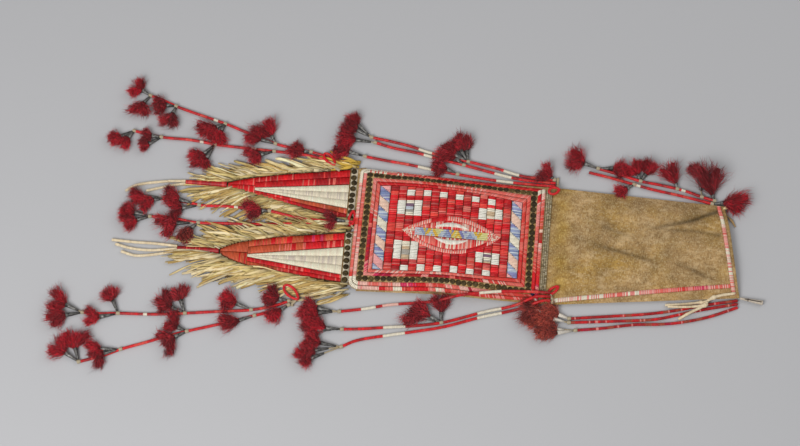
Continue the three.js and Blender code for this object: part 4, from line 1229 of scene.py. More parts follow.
def folds(bundle, corners, dyes, lay, height=QUILL):
    """Rounded quill folds laid on a surface, painted darker at their ends and sides as shade. corners
    holds [fold, start or end, side, x and y].
    """
    corners = np.array(corners, float)
    way = corners[:, 1].mean(1) - corners[:, 0].mean(1)
    over = corners[:, :, 1].mean(1) - corners[:, :, 0].mean(1)
    turned = way[:, 0] * over[:, 1] - way[:, 1] * over[:, 0] < 0
    corners[turned] = corners[turned][:, :, ::-1]
    u = FOLD_ROWS[None, :, None, None]
    v = FOLD_COLUMNS[None, None, :, None]
    start = corners[:, 0, 0, None, None] * (1 - v) + corners[:, 0, 1, None, None] * v
    end = corners[:, 1, 0, None, None] * (1 - v) + corners[:, 1, 1, None, None] * v
    plan = start * (1 - u) + end * u
    count = len(corners)
    heights = height * (1 + 0.12 * random.standard_normal((count, 1, 1)))
    lift = heights * FOLD_RISE[:, None] * FOLD_DOME
    points = lay(plan[..., 0], plan[..., 1], lift)
    # Painted shade at the fold's ends and sides, and its slight painted highlight
    shade = FOLD_SHADE[:, None] * FOLD_EDGE_SHADE
    paint = np.asarray(dyes)[:, None, None] * shade[..., None]
    first = np.arange(count)[:, None, None] * 20
    bundle.add(points, paint, (skin(4, 5, False) + first).reshape(-1, 4))
    bundle.add_faces((FOLD_RIM + first).reshape(-1, 14), False)


def between(right, left):
    """Fold corners of a lane from the points along its two edges."""
    right, left = np.asarray(right), np.asarray(left)
    ends = np.stack([right, left], 1)
    return np.stack([ends[:-1], ends[1:]], 1)


def bricks(count, low, high):
    """Block number of each fold, in blocks of a few folds."""
    sizes = random.integers(low, high + 1, count)
    return np.repeat(np.arange(count), sizes)[:count]


def run_dyes(shares, runs, ticks=0.3, spread=0.06):
    """Dyes along a lane from its runs: (share where the run ends, colour, ticks of another)."""
    ends = [run[0] for run in runs]
    chosen = np.minimum(np.searchsorted(ends, shares), len(runs) - 1)
    dyes = np.array([run[1] for run in runs])[chosen] * jitter(len(shares), spread)
    for i, run in enumerate(runs):
        if len(run) > 2:
            ticked = (chosen == i) & (random.random(len(shares)) < ticks)
            dyes[ticked] = run[2]
    return dyes


# Quilled panel

# Rolled edges: width of the bent strip, and its bend, for the long sides at foot and head
UPPER_ROLL = 15 * MM
LOWER_ROLL = 15 * MM
FOOT_ROLL = 12 * MM
UPPER_BEND = (60 * DEGREE, 48 * DEGREE)
LOWER_BEND = (40 * DEGREE, 24 * DEGREE)
FOOT_BEND = 35 * DEGREE
LEAST_CORNER = 0.5 * MM
# How far the head is drawn in, and from where to where along the panel
HEAD_DRAW = 2.2 * MM
HEAD_DRAW_X = (-40 * MM, 100 * MM)
# Stretch of the soft panel in millimetres. Above: the ends of the field and what its middle gains,
# the sequins at the foot and what they gain towards the head, and the edge
UPPER_FIELD = (3.3, 5.3)
UPPER_SEQUINS = (2.4, 2.6)
UPPER_EDGE = 1.5
# Below: the field, then how far the sequins and the edge drop towards the head and are dented
LOWER_FIELD = 2
LOWER_SEQUINS = (5, 3)
LOWER_EDGE = (4, 3.3)
# Where the upper side is arched and gains, and where the lower side is dented and drops
ARCH_REACH = 86 * MM
GAIN_X = (-105 * MM, -20 * MM)
PANEL_DENT_X = -10 * MM
PANEL_DENT_REACH = 45 * MM
DROP_X = -20 * MM
DROP_REACH = 115 * MM
PANEL_RIPPLE = 0.35 * MM


def panel_half(x):
    share = x / PANEL_LENGTH + 0.5
    return PANEL_FOOT_HALF + (PANEL_HEAD_HALF - PANEL_FOOT_HALF) * share


def rolled(past, width, bend):
    """A strip of hide bent along its edge: how far it draws in, how far it drops, its tilt."""
    past = np.clip(past, 0, None)
    radius = width / bend
    tilt = past / radius
    return past - radius * np.sin(tilt), radius * (1 - np.cos(tilt)), tilt


def slack(x, out, half, share, upper):
    """How far the soft panel has stretched outward: its field, its sequins and its edge differ."""
    field, sequins = half - FIELD_INSET, half - SEQUIN_INSET - SEQUIN / 2
    arch = np.clip(1 - (x / ARCH_REACH) ** 2, 0, 1)
    dent = np.exp(-(((x - PANEL_DENT_X) / PANEL_DENT_REACH) ** 2))
    drop = np.clip((x - DROP_X) / DROP_REACH, 0, 1) ** 2
    gained = UPPER_SEQUINS[0] + UPPER_SEQUINS[1] * smoothstep(x, *GAIN_X)
    at_sequins = np.where(upper, gained, LOWER_SEQUINS[0] * drop - LOWER_SEQUINS[1] * dent) * MM
    arched = (UPPER_FIELD[0] + UPPER_FIELD[1] * arch) * MM
    at_field = np.where(upper, arched, LOWER_FIELD * MM + at_sequins / 2)
    at_edge = np.where(upper, UPPER_EDGE, LOWER_EDGE[0] * share - LOWER_EDGE[1] * dent) * MM
    past_field = np.clip((out - field) / (sequins - field), 0, 1)
    past_sequins = np.clip((out - sequins) / (half - sequins), 0, 1)
    inside = at_field * smoothstep(out, 0, field)
    return inside + (at_sequins - at_field) * past_field + (at_edge - at_sequins) * past_sequins


def on_panel(x, y, lift):
    """Points of the bag at a lift over the panel's hide, whose edges roll down."""
    share = x / PANEL_LENGTH + 0.5
    half = panel_half(x)
    upper = UPPER_BEND[0] + (UPPER_BEND[1] - UPPER_BEND[0]) * share
    lower = LOWER_BEND[0] + (LOWER_BEND[1] - LOWER_BEND[0]) * share
    y = y + np.sign(y) * slack(x, np.abs(y), half, share, y > 0)
    draw_up, drop_up, tilt_up = rolled(y - half + UPPER_ROLL, UPPER_ROLL, upper)
    draw_down, drop_down, tilt_down = rolled(-y - half + LOWER_ROLL, LOWER_ROLL, lower)
    draw_foot, drop_foot, tilt_foot = rolled(-x - PANEL_LENGTH / 2 + FOOT_ROLL, FOOT_ROLL, FOOT_BEND)
    local_x = x + draw_foot - lift * np.sin(tilt_foot) - HEAD_DRAW * smoothstep(x, *HEAD_DRAW_X)
    local_y = y - draw_up + draw_down + lift * (np.sin(tilt_up) - np.sin(tilt_down))
    drop = np.hypot(drop_up + drop_down, drop_foot)
    z = PANEL_TOP - drop + lift * np.cos(tilt_up + tilt_down) * np.cos(tilt_foot)
    z = z + PANEL_RIPPLE * ripple(x * 1.2, y * 1.4)
    c, s = math.cos(PANEL_TURN), math.sin(PANEL_TURN)
    return np.stack([PANEL_X + c * local_x - s * local_y, PANEL_Y + s * local_x + c * local_y, z], -1)


def arc(middle, radius, start, count):
    """A quarter turn of points about a middle."""
    angles = (start + np.linspace(0, 90, count + 1)) * DEGREE
    return np.array(middle) + radius * np.column_stack([np.cos(angles), np.sin(angles)])


def panel_ring(inset, counts):
    """Points around the panel at an inset: foot, lower edge, head and upper edge, with corners."""
    foot, head = -PANEL_LENGTH / 2 + inset, PANEL_LENGTH / 2 - inset
    foot_half, head_half = panel_half(foot) - inset, panel_half(head) - inset
    foot_round = max(FOOT_CORNER - inset, LEAST_CORNER)
    head_round = max(HEAD_CORNER - inset, LEAST_CORNER)
    corners = [
        arc((foot + foot_round, foot_round - foot_half), foot_round, 180, counts[1]),
        arc((head - head_round, head_round - head_half), head_round, 270, counts[3]),
        arc((head - head_round, head_half - head_round), head_round, 0, counts[5]),
        arc((foot + foot_round, foot_half - foot_round), foot_round, 90, counts[7]),
    ]
    points = []
    for i, corner in enumerate(corners):
        before = corners[i - 1][-1]
        t = np.linspace(0, 1, counts[2 * i], endpoint=False)[:, None]
        points += [before * (1 - t) + corner[0] * t, corner[:-1]]
    return np.concatenate(points)


def ring_lane(bundle, inset, width, pitch, runs, corner_dyes):
    """A lane around the panel. runs gives each side's dyes, corner_dyes each corner's."""
    middle = inset + width / 2
    sides = [2 * PANEL_FOOT_HALF, PANEL_LENGTH, 2 * PANEL_HEAD_HALF, PANEL_LENGTH]
    rounds = [FOOT_CORNER, HEAD_CORNER, HEAD_CORNER, FOOT_CORNER]
    names = ("foot", "lower", "head", "upper")
    counts, dyes = [], []
    for side, rounding, name, corner in zip(sides, rounds, names, corner_dyes):
        straights = round((side - 2 * middle) / pitch)
        turns = max(round((rounding - middle) * math.pi / 2 / pitch), 1)
        counts += [straights, turns]
        dyes.append(run_dyes((np.arange(straights) + 0.5) / straights, runs[name]))
        dyes.append(np.array(corner) * jitter(turns, 0.05))
    edges = [panel_ring(place, counts) for place in (inset, inset + width)]
    closed = [np.concatenate([points, points[:1]]) for points in edges]
    folds(bundle, between(*closed), np.concatenate(dyes), on_panel)


BORDER_OUTER = {
    "foot": [(0.1, CREAM), (0.42, BLUSH, PINK), (0.48, TOMATO, PINK), (0.65, PINK, BLUSH),
             (0.92, SALMON, PINK), (0.97, TOMATO), (1, CREAM)],
    "lower": [(0.12, BLUSH, PINK), (0.155, BRIGHT), (0.2, SALMON), (0.247, CREAM, BLUSH),
              (0.316, TOMATO, SALMON), (0.396, BRIGHT), (0.44, SALMON, PINK), (0.488, BLUSH, CREAM),
              (0.52, TOMATO), (0.624, SALMON, PINK), (0.684, RED), (1, TOMATO, PINK)],
    "head": [(0.13, MAGENTA, PINK), (0.255, BRIGHT, TOMATO), (0.4, SALMON, TOMATO), (0.48, BLUSH, PINK),
             (0.51, RED), (0.585, RUST, ORANGE), (0.61, PEACH), (0.69, ORANGE, SALMON),
             (0.79, TOMATO, SALMON), (0.87, SALMON, PINK), (0.95, BLUSH, CREAM), (1, CREAM)],
    "upper": [(0.5, DARK_RED, TOMATO), (0.68, RED, SALMON), (0.85, SALMON, CREAM), (1, BLUSH, CREAM)],
}
BORDER_INNER = {
    "foot": [(0.06, PINK), (0.4, SALMON, PINK), (0.5, TOMATO, SALMON), (0.65, SALMON, BLUSH),
             (0.85, BLUSH, PINK), (0.97, PINK, BLUSH), (1, CREAM)],
    "lower": [(0.05, BLUSH, PINK), (0.2, PINK, SALMON), (0.245, BLUSH, CREAM), (0.305, MAGENTA, PINK),
              (0.385, BRIGHT, MAGENTA), (0.43, SALMON, PINK), (0.5, TOMATO, SALMON), (0.54, PINK, BLUSH),
              (0.6, SALMON, BLUSH), (0.635, BLUSH), (0.65, CRIMSON), (0.73, PINK, MAGENTA),
              (0.8, SALMON, PINK), (1, TOMATO, SALMON)],
    "head": [(0.03, NAVY), (0.05, CREAM), (0.22, BRIGHT), (0.45, SALMON, TOMATO), (0.54, PINK, SALMON),
             (0.62, SALMON, TOMATO), (0.79, PINK, SALMON), (0.86, PINK, BLUSH), (0.94, BRIGHT, TOMATO),
             (1, CREAM)],
    "upper": [(0.6, RED, TOMATO), (0.8, SALMON, RED), (1, SALMON, CREAM)],
}
FRAME_OUTER = {
    "foot": [(0.36, PINK, SALMON), (0.46, RED), (0.5, SALMON), (0.86, CRIMSON, RED), (1, PINK, MAGENTA)],
    "lower": [(0.05, PINK), (0.16, CRIMSON, MAGENTA), (0.25, SALMON, PINK), (0.35, DARK_RED),
              (0.4, PINK), (0.53, DARK_RED, CRIMSON), (0.57, SALMON), (0.75, DARK_RED, TOMATO),
              (0.9, TOMATO, BLUSH), (1, SALMON)],
    "head": [(0.3, TOMATO, SALMON), (1, SALMON, TOMATO)],
    "upper": [(0.3, SALMON, PINK), (0.55, SALMON, BLUSH), (0.7, TOMATO, SALMON), (1, SALMON, PINK)],
}
FRAME_INNER = {
    "foot": [(0.3, SALMON, TOMATO), (0.45, BLUSH, SALMON), (1, SALMON, PINK)],
    "lower": [(0.5, SALMON, BLUSH), (0.75, SALMON, PINK), (1, TOMATO, SALMON)],
    "head": [(0.3, TOMATO, BRIGHT), (0.7, SALMON, TOMATO), (1, TOMATO, SALMON)],
    "upper": [(0.4, SALMON, PINK), (0.6, TOMATO, SALMON), (1, RED, TOMATO)],
}


def field_half(x):
    return panel_half(x) - FIELD_INSET


BORDER_INNER_INSET = MARGIN + BORDER_LANE + GAP
SEQUIN_INSET = BORDER_INNER_INSET + BORDER_LANE + GAP
FRAME_OUTER_INSET = SEQUIN_INSET + SEQUIN + GAP
FRAME_INNER_INSET = FRAME_OUTER_INSET + FRAME_LANE + GAP
FIELD_INSET = FRAME_INNER_INSET + FRAME_LANE + GAP
FIELD_FOOT = -PANEL_LENGTH / 2 + FIELD_INSET
FIELD_HEAD = PANEL_LENGTH / 2 - FIELD_INSET


# Rings of points on the panel's hide: the inset in millimetres, and how light the hide is there;
# and the steps of a ring's sides and corners
# The low tones are painted shade where quills cover the hide; the hide is left light at its very edge
# and along the sequins
HIDE_RINGS = [
    (0.4, 1), (1.2, 0.8), (5, 0.3), (9.5, 0.3), (10.6, 1), (14, 1), (17.4, 1), (19, 0.3), (24, 0.2),
    (30, 0.2), (45, 0.2), (62, 0.2),
]
HIDE_STEPS = [40, 8, 60, 3, 40, 3, 60, 8]
HIDE_EDGE_TONE = 0.8
HIDE_BACK_TONE = 0.9


def add_panel_hide():
    """The hide under the quillwork, painted dark as shade where quills cover it, so the gaps between
    folds look dark.
    """
    def ring(inset, lift):
        x, y = panel_ring(inset * MM, HIDE_STEPS).T
        return on_panel(x, y, np.full(len(x), lift))

    rings = [ring(inset, 0) for inset, _ in HIDE_RINGS[::-1]]
    rings += [ring(0, -HIDE / 2)]
    rings += [ring(inset, -HIDE) for inset, _ in HIDE_RINGS]
    tones = [tone for _, tone in HIDE_RINGS[::-1]]
    tones += [HIDE_EDGE_TONE] + [HIDE_BACK_TONE] * len(HIDE_RINGS)
    bundle = Bundle()
    loft(bundle, np.array(rings), np.repeat(tones, 3).reshape(-1, 1, 3))
    hide = bundle.make("panel_hide_edge", SUEDE, "suede_hide", "panel_hide")


def sequin_row(start, end, pitch, keep_last=True):
    """Middles of sequins in a straight row."""
    start, end = np.array(start), np.array(end)
    steps = round(np.linalg.norm(end - start) / pitch)
    shares = np.arange(steps + keep_last)[:, None] / steps
    return start * (1 - shares) + end * shares


# A sequin's rings from its dimple to its rim: radius as a share and height in millimetres
SEQUIN_RINGS = [(0.06, 0.55), (0.16, 0.9), (0.45, 1), (0.78, 0.75), (0.96, 0.36), (1, 0.2), (0.9, 0.02)]
SEQUIN_SIDES = 14
SEQUIN_LIFT = 0.15 * MM
# How light a sequin is, and how often
SEQUIN_TONES = [0.75, 1.0, 1.25, 2.2]
SEQUIN_WEIGHTS = (0.3, 0.35, 0.25, 0.1)


def sequins(bundle, middles, lay):
    """Thin domed discs with a pierced dimple, each a little askew."""
    shares, heights = np.array(SEQUIN_RINGS).T
    radii, lifts = shares * SEQUIN / 2, heights * MM
    angles = np.arange(SEQUIN_SIDES) * TURN / SEQUIN_SIDES
    for x, y in middles:
        x, y = np.array([x, y]) + 0.25 * MM * random.standard_normal(2)
        lean = 1 + 0.18 * np.cos(angles - random.uniform(0, TURN))
        tone = random.choice(SEQUIN_TONES, p=SEQUIN_WEIGHTS)
        wide = radii * random.uniform(0.93, 1.02)
        plan_x = x + wide[:, None] * np.cos(angles)
        plan_y = y + wide[:, None] * np.sin(angles)
        rings = lay(plan_x, plan_y, (lifts[:, None] + SEQUIN_LIFT) * lean)
        loft(bundle, rings[::-1], np.full(3, 0.4) * tone)


BORDER_FOLD = 1.9 * MM
FRAME_FOLD = 1.7 * MM
BORDER = BORDER_LANE, BORDER_FOLD
FRAME = FRAME_LANE, FRAME_FOLD
# Lanes around the panel: slot, inset, width and fold, and the dyes of the sides and of the corners
PANEL_LANES = {
    "border_lane_outer": ("salmon_quill", MARGIN, *BORDER, BORDER_OUTER, (CREAM,) * 4),
    "border_lane_inner": (
        "salmon_quill", BORDER_INNER_INSET, *BORDER, BORDER_INNER, (CREAM, NAVY, CREAM, CREAM)),
    "frame_lane_outer": (
        "salmon_quill", FRAME_OUTER_INSET, *FRAME, FRAME_OUTER, (PINK, TOMATO, SALMON, SALMON)),
    "frame_lane_inner": (
        "red_quill", FRAME_INNER_INSET, *FRAME, FRAME_INNER, (SALMON, TOMATO, SALMON, RED)),
}


def add_panel_quills():
    """The lanes of folds around the panel."""
    for name, (slot, *lane) in PANEL_LANES.items():
        bundle = Bundle()
        ring_lane(bundle, *lane)
        bundle.make(f"{name}_folds", QUILLS, slot, name)


def add_panel_sequins():
    """A frame of sequins between the border lanes and the frame lanes."""
    inset = SEQUIN_INSET + SEQUIN / 2
    foot, head = -PANEL_LENGTH / 2 + inset, PANEL_LENGTH / 2 - inset
    foot_half, head_half = panel_half(foot) - inset, panel_half(head) - inset
    corners = [(foot, -foot_half), (head, -head_half), (head, head_half), (foot, foot_half)]
    bundle = Bundle()
    for start, end in zip(corners, corners[1:] + corners[:1]):
        sequins(bundle, sequin_row(start, end, SEQUIN_PITCH, False), on_panel)
    bundle.make("panel_sequin_rows", SEQUINS, "sequin_metal", "panel_sequins")


BAND_FOLD = 1.5 * MM
BAND_SLANT = 9 * MM
BAND_BLUES = [BLUE, MIST, DEEP_BLUE, BLUE, MIST, VIOLET]
BAND_PALES = [PEACH, CREAM, PEACH, ROSE]
# Most blocks that a row cuts, and the share below which a cut leaves no fold of its own
BAND_BLOCKS = 6
BAND_SLIVER = 0.04
# Each band: where it starts, and the period of its blocks
TRIANGLE_BANDS = {
    "triangle_band_foot": (FIELD_FOOT, 23.5 * MM),
    "triangle_band_head": (FIELD_HEAD - TRIANGLE_BAND, 24 * MM),
}


def triangle_band(name, low, period):
    """A band of slanting blocks, striped blue ones and pale ones in turn."""
    high = low + TRIANGLE_BAND
    half = field_half(high)
    rows = round(2 * half / BAND_FOLD)
    corners, dyes = [], []
    for row in range(rows):
        top = half - 2 * half * row / rows
        bottom = half - 2 * half * (row + 1) / rows
        down = half - (top + bottom) / 2
        blue = BAND_BLUES[random.integers(len(BAND_BLUES))]
        first = math.floor((down - BAND_SLANT) / period * 2)
        blocks = range(first, first + BAND_BLOCKS)
        cuts = [(down - block * period / 2) / BAND_SLANT for block in blocks]
        edges = sorted({0.0, 1.0, *(cut for cut in cuts if BAND_SLIVER < cut < 1 - BAND_SLIVER)})
        for a, b in zip(edges, edges[1:]):
            block = math.floor((down - BAND_SLANT * (a + b) / 2) / period * 2)
            start, end = low + (high - low) * a, low + (high - low) * b
            corners.append([[(start, top), (end, top)], [(start, bottom), (end, bottom)]])
            dyes.append(BAND_PALES[block // 2 % len(BAND_PALES)] if block % 2 else blue)
    bundle = Bundle()
    folds(bundle, corners, np.array(dyes) * jitter(len(dyes), 0.06), on_panel)
    bundle.make(f"{name}_folds", QUILLS, "blue_quill", name)


BRICK = 5.2 * MM
FOLDS_A_BRICK = 3
BRICK_SEAM = 0.15 * MM
BRICK_SWAY = 0.5 * MM
LANE_SEAM = 0.15 * MM
LANE_SWAY = 0.2 * MM
FIELD_REDS = [DARK_RED, RED, BRIGHT, TOMATO, SALMON]
FIELD_WEIGHTS = (0.12, 0.36, 0.29, 0.17, 0.06)
SQUARE = 7 * MM
# Red left between the white squares and the field's edge, above and below
SQUARE_GAPS = {True: 3.4 * MM, False: 0.3 * MM}
SQUARE_LANES = (2, 4, 6, 8, 10, 12)
# How far the field's lanes run in under the eye
EYE_LAP = 7 * MM
# White blocks: first lane, lowest and highest y, and the stripes in the middle lane
BLOCKS = [
    (1, 17.6 * MM, 33.4 * MM, (CREAM, GREY, MIST, PLUM, CREAM)),
    (11, 20.1 * MM, 31.5 * MM, (CREAM, TAN, TAN, CREAM)),
    (1, -35.5 * MM, -13.6 * MM, (TAN, GREY, TAN, CREAM)),
    (11, -32 * MM, -18.8 * MM, (TAN, GREY, CREAM, PLUM, CREAM)),
]


def eye_half(x, side=1):
    return EYE_HALF_WIDTHS[side] * np.clip(1 - (x / EYE_HALF_LENGTH) ** 2, 0, 1)


def field_dye(lane, y, half, ground):
    """Dye of one fold in the field: white squares, striped blocks or the red ground."""
    edge = half - abs(y)
    gap = SQUARE_GAPS[bool(y > 0)]
    if lane in SQUARE_LANES and gap < edge < gap + SQUARE:
        return WHITE * random.uniform(0.94, 1)
    for first, low, high, stripes in BLOCKS:
        if first <= lane <= first + 2 and low < y < high:
            if lane != first + 1:
                return WHITE * random.uniform(0.93, 1)
            return stripes[int(len(stripes) * (y - low) / (high - low))]
    return ground


def add_field():
    """Lanes of bricks across the bag, each brick a few folds of one dye."""
    low, high = FIELD_FOOT + TRIANGLE_BAND + GAP, FIELD_HEAD - TRIANGLE_BAND - GAP
    width = (high - low) / FIELD_LANES
    corners, dyes = [], []
    for lane in range(FIELD_LANES):
        start, end = low + lane * width, low + (lane + 1) * width - LANE_SEAM
        half = field_half((start + end) / 2)
        hidden = {
            side: min(eye_half(x - EYE_X, side) for x in (start, end)) - EYE_LAP for side in (1, -1)}
        count = round(2 * half / BRICK)
        edges = np.linspace(-half, half, count + 1)
        edges[1:-1] += random.normal(0, BRICK_SWAY, count - 1)
        for bottom, top in zip(edges, edges[1:]):
            ground = FIELD_REDS[random.choice(len(FIELD_REDS), p=FIELD_WEIGHTS)] * jitter(1, 0.1)[0]
            left, right = random.normal(0, LANE_SWAY, 2)
            steps = np.linspace(bottom, top - BRICK_SEAM, FOLDS_A_BRICK + 1)
            for lower, upper in zip(steps, steps[1:]):
                y = (lower + upper) / 2
                if abs(y) < hidden[1 if y > 0 else -1]:
                    continue
                near, far = start + left, end + right
                corners.append([[(near, lower), (far, lower)], [(near, upper), (far, upper)]])
                worn = 0.3 * random.random() * (random.random() < 0.3)
                shade = (ground + (BLUSH - ground) * worn) * jitter(1, 0.08)[0]
                dyes.append(field_dye(lane, y, half, shade))
    bundle = Bundle()
    folds(bundle, corners, np.array(dyes), on_panel)
    bundle.make("field_folds", QUILLS, "red_quill", "field_quills")


EYE_FOLD = 1.45 * MM
EYE_LANE = 5 * MM
EYE_BAND = 4.7 * MM
EYE_BAND_HALF_LENGTH = 44 * MM
EYE_LIFT = 0.5 * MM
CRESCENT_HALF = 21.5 * MM
CRESCENT_GAP = 1.6 * MM
CRESCENT_HEIGHT = 2.4 * MM
# Thickness of the crescents, and the red stretch of the eye's rim, above and below
CRESCENTS = {1: 5.2 * MM, -1: 6.2 * MM}
RIM_REDS = {1: (-26 * MM, -6 * MM), -1: (20 * MM, 44 * MM)}
# Patches of the eye's middle band: x of the middle in millimetres and dye; and its tips' dyes
EYE_PATCHES = [
    (-39, MIST), (-34, BLUE), (-29, YELLOW), (-25, MIST), (-20, YELLOW), (-16, LEMON), (-10, MIST),
    (-6, BLUE), (-2, VIOLET), (2, YELLOW), (5, LEMON), (9, YELLOW), (13, VIOLET), (18, MIST),
    (23, BLUE), (28, MIST), (32, YELLOW), (37, LEMON),
]
EYE_TIPS = (CREAM, SALMON, BLUSH)
EYE_BAND_FOLDS = 84
EYE_BAND_ROWS = 4
# How far the patches lean from row to row, and the wave along the band that turns them over
PATCH_LEAN = 1.6 * MM
LEAN_WAVE = 400
# Folds inside the rim: their dyes, and how often each is drawn
FILL_DYES = [SALMON, CREAM, BLUSH, BRIGHT]
FILL_WEIGHTS = (0.5, 0.16, 0.22, 0.12)


def on_eye(x, y, lift):
    return on_panel(x + EYE_X, y, lift + EYE_LIFT)


def arc_lane(bundle, upper, lower, low, high, dyes, height=QUILL):
    """Narrow folds standing across a curved lane between two lines over the eye's length."""
    count = round((high - low) / EYE_FOLD)
    x = np.linspace(low, high, count + 1)
    corners = between(np.column_stack([x, lower(x)]), np.column_stack([x, upper(x)]))
    thick = upper(x) - lower(x)
    kept = thick[:-1] + thick[1:] > 1 * MM
    folds(bundle, corners[kept], dyes((x[:-1] + x[1:]) / 2)[kept], on_eye, height)


def striped(first, second):
    """Dyes of folds that alternate."""
    def dyes(x):
        return np.where((np.arange(len(x)) % 2)[:, None], first, second) * jitter(len(x), 0.07)
    return dyes


def rim_dyes(side):
    """The eye's rim: striped, with one red stretch above and one below."""
    low, high = RIM_REDS[side]

    def dyes(x):
        stripes = striped(SALMON, BLUSH)(x)
        red = (x > low) & (x < high)
        stripes[red] = RED * jitter(len(x), 0.08)[red]
        return stripes
    return dyes


def fill_dyes(x):
    """Salmon and cream folds with a few red ones."""
    chosen = random.choice(len(FILL_DYES), len(x), p=FILL_WEIGHTS)
    return np.array(FILL_DYES)[chosen] * jitter(len(x), 0.06)


def eye_band(x):
    return np.minimum(EYE_BAND, 0.78 * eye_half(x))


def eye_inside(x, side):
    return np.maximum(eye_half(x, side) - EYE_LANE, eye_band(x))


def add_eye():
    """Striped arcs around two white crescents and a band of small triangles."""
    bundle = Bundle()
    for side in (1, -1):
        add_eye_side(bundle, side)
    add_eye_band(bundle)
    bundle.make("eye_folds", QUILLS, "cream_quill", "eye_lozenge")


def add_eye_side(bundle, side):
    """The upper or lower half of the eye: its rim, the folds inside it and its crescent."""
    def rim(x):
        return eye_half(x, side)

    def inside(x):
        return eye_inside(x, side)

    def swell(x):
        return CRESCENTS[side] * np.clip(1 - (x / CRESCENT_HALF) ** 2, 0, 1)

    def crescent_inner(x):
        return EYE_BAND + CRESCENT_GAP + 0.25 * swell(x)

    def crescent_outer(x):
        return crescent_inner(x) + swell(x)

    def lane(outer, inner, half, dyes, height=QUILL):
        if side > 0:
            upper, lower = outer, inner
        else:
            upper, lower = lambda x: -inner(x), lambda x: -outer(x)
        arc_lane(bundle, upper, lower, -half, half, dyes, height)

    lane(rim, inside, EYE_HALF_LENGTH, rim_dyes(side))
    lane(inside, eye_band, EYE_HALF_LENGTH, fill_dyes)
    lane(crescent_outer, crescent_inner, CRESCENT_HALF, striped(WHITE, WHITE), CRESCENT_HEIGHT)


def add_eye_band(bundle):
    """The middle band in slanting patches, with striped tips."""
    x = np.linspace(-EYE_HALF_LENGTH, EYE_HALF_LENGTH, EYE_BAND_FOLDS + 1)
    places = np.array([place for place, _ in EYE_PATCHES]) * MM
    corners, dyes = [], []
    for row in range(EYE_BAND_ROWS):
        low, high = (-1 + 2 * edge / EYE_BAND_ROWS for edge in (row, row + 1))
        for a, b in zip(x, x[1:]):
            middle = (a + b) / 2
            turned = 1 if math.sin(middle * LEAN_WAVE) > 0 else -1
            lean = PATCH_LEAN * (row - (EYE_BAND_ROWS - 1) / 2) * turned
            patch = np.argmin(np.abs(places - middle + lean))
            corners.append([
                [(a, low * eye_band(a)), (a, high * eye_band(a))],
                [(b, low * eye_band(b)), (b, high * eye_band(b))]])
            tip = abs(middle) > EYE_BAND_HALF_LENGTH
            dyes.append(EYE_TIPS[random.integers(len(EYE_TIPS))] if tip else EYE_PATCHES[patch][1])
    folds(bundle, corners, np.array(dyes) * jitter(len(dyes), 0.05), on_eye)


STITCH = 1.75 * MM
STITCH_HEIGHT = 1.5 * MM
STITCH_GAP = 0.2 * MM
STITCH_ROWS = 3
STITCH_ROW_GAP = 0.15 * MM
STITCH_DROP = 1.4 * MM
STITCH_DYES = [dye(200, 188, 154), dye(184, 174, 146), dye(220, 212, 186), dye(150, 138, 104)]
STITCH_WEIGHTS = (0.4, 0.3, 0.2, 0.1)


def add_head_strip():
    """Strip of hide along the panel's head, covered in rows of small grey stitches."""
    def lay(x, y, lift):
        return on_panel(x, y, lift - STITCH_DROP)

    half = PANEL_HEAD_HALF
    count = round(2 * half / STITCH)
    corners = []
    for row in range(STITCH_ROWS):
        start = PANEL_LENGTH / 2 + GAP + row * HEAD_STRIP / STITCH_ROWS
        end = start + HEAD_STRIP / STITCH_ROWS - STITCH_ROW_GAP
        for i in range(count):
            low = -half + i * 2 * half / count
            high = low + 2 * half / count - STITCH_GAP
            corners.append([[(start, low), (end, low)], [(start, high), (end, high)]])
    dyes = np.array(STITCH_DYES)[random.choice(len(STITCH_DYES), len(corners), p=STITCH_WEIGHTS)]
    bundle = Bundle()
    folds(bundle, corners, dyes * jitter(len(dyes), 0.06), lay, STITCH_HEIGHT)
    bundle.make("head_strip_stitches", SINEW, "straw_hide", "head_strip")


add_panel_hide()
add_panel_quills()
add_panel_sequins()
for band, place in TRIANGLE_BANDS.items():
    triangle_band(band, *place)
add_field()
add_eye()
add_head_strip()


# Quill lanes on the pouch

POUCH_LANE_LIFT = 0.1 * MM
# Share of the folds that are ticked, for each second fold and for those between
TICKS = (0.8, 0.2)


def pouch_lane(name, inner, outer, count, runs):
    """Lane of folds on the pouch's front between two lines of (share, across) places."""
    def lay(share, across, lift):
        points = pouch_front(share, across)
        points[..., 2] += lift + POUCH_LANE_LIFT
        return points

    t = np.linspace(0, 1, count + 1)[:, None]
    edges = [np.array(line[0]) * (1 - t) + np.array(line[1]) * t for line in (inner, outer)]
    bundle = Bundle()
    shares = (np.arange(count) + 0.5) / count
    dyes = run_dyes(shares, runs, TICKS[1])
    dyes[::2] = run_dyes(shares, runs, TICKS[0])[::2]
    folds(bundle, between(*edges), dyes, lay)
    bundle.make(f"{name}_folds", QUILLS, "salmon_quill", name)


MOUTH_RUNS = [
    (0.15, SALMON, BLUSH), (0.35, PINK, CREAM), (0.5, BLUSH, CREAM), (0.62, PINK, BLUSH),
    (0.74, SALMON, BLUSH), (0.88, BLUSH, CREAM), (1, SALMON, PINK),
]
SEAM_RUNS = [
    (0.05, CREAM), (0.16, BLUSH, CREAM), (0.3, PINK, CREAM), (0.42, BLUSH, SALMON), (0.5, CREAM, PINK),
    (0.58, PINK, BLUSH), (0.7, SALMON, PINK), (0.8, TOMATO, PINK), (0.88, MAGENTA, PINK),
    (1, SALMON, BLUSH),
]
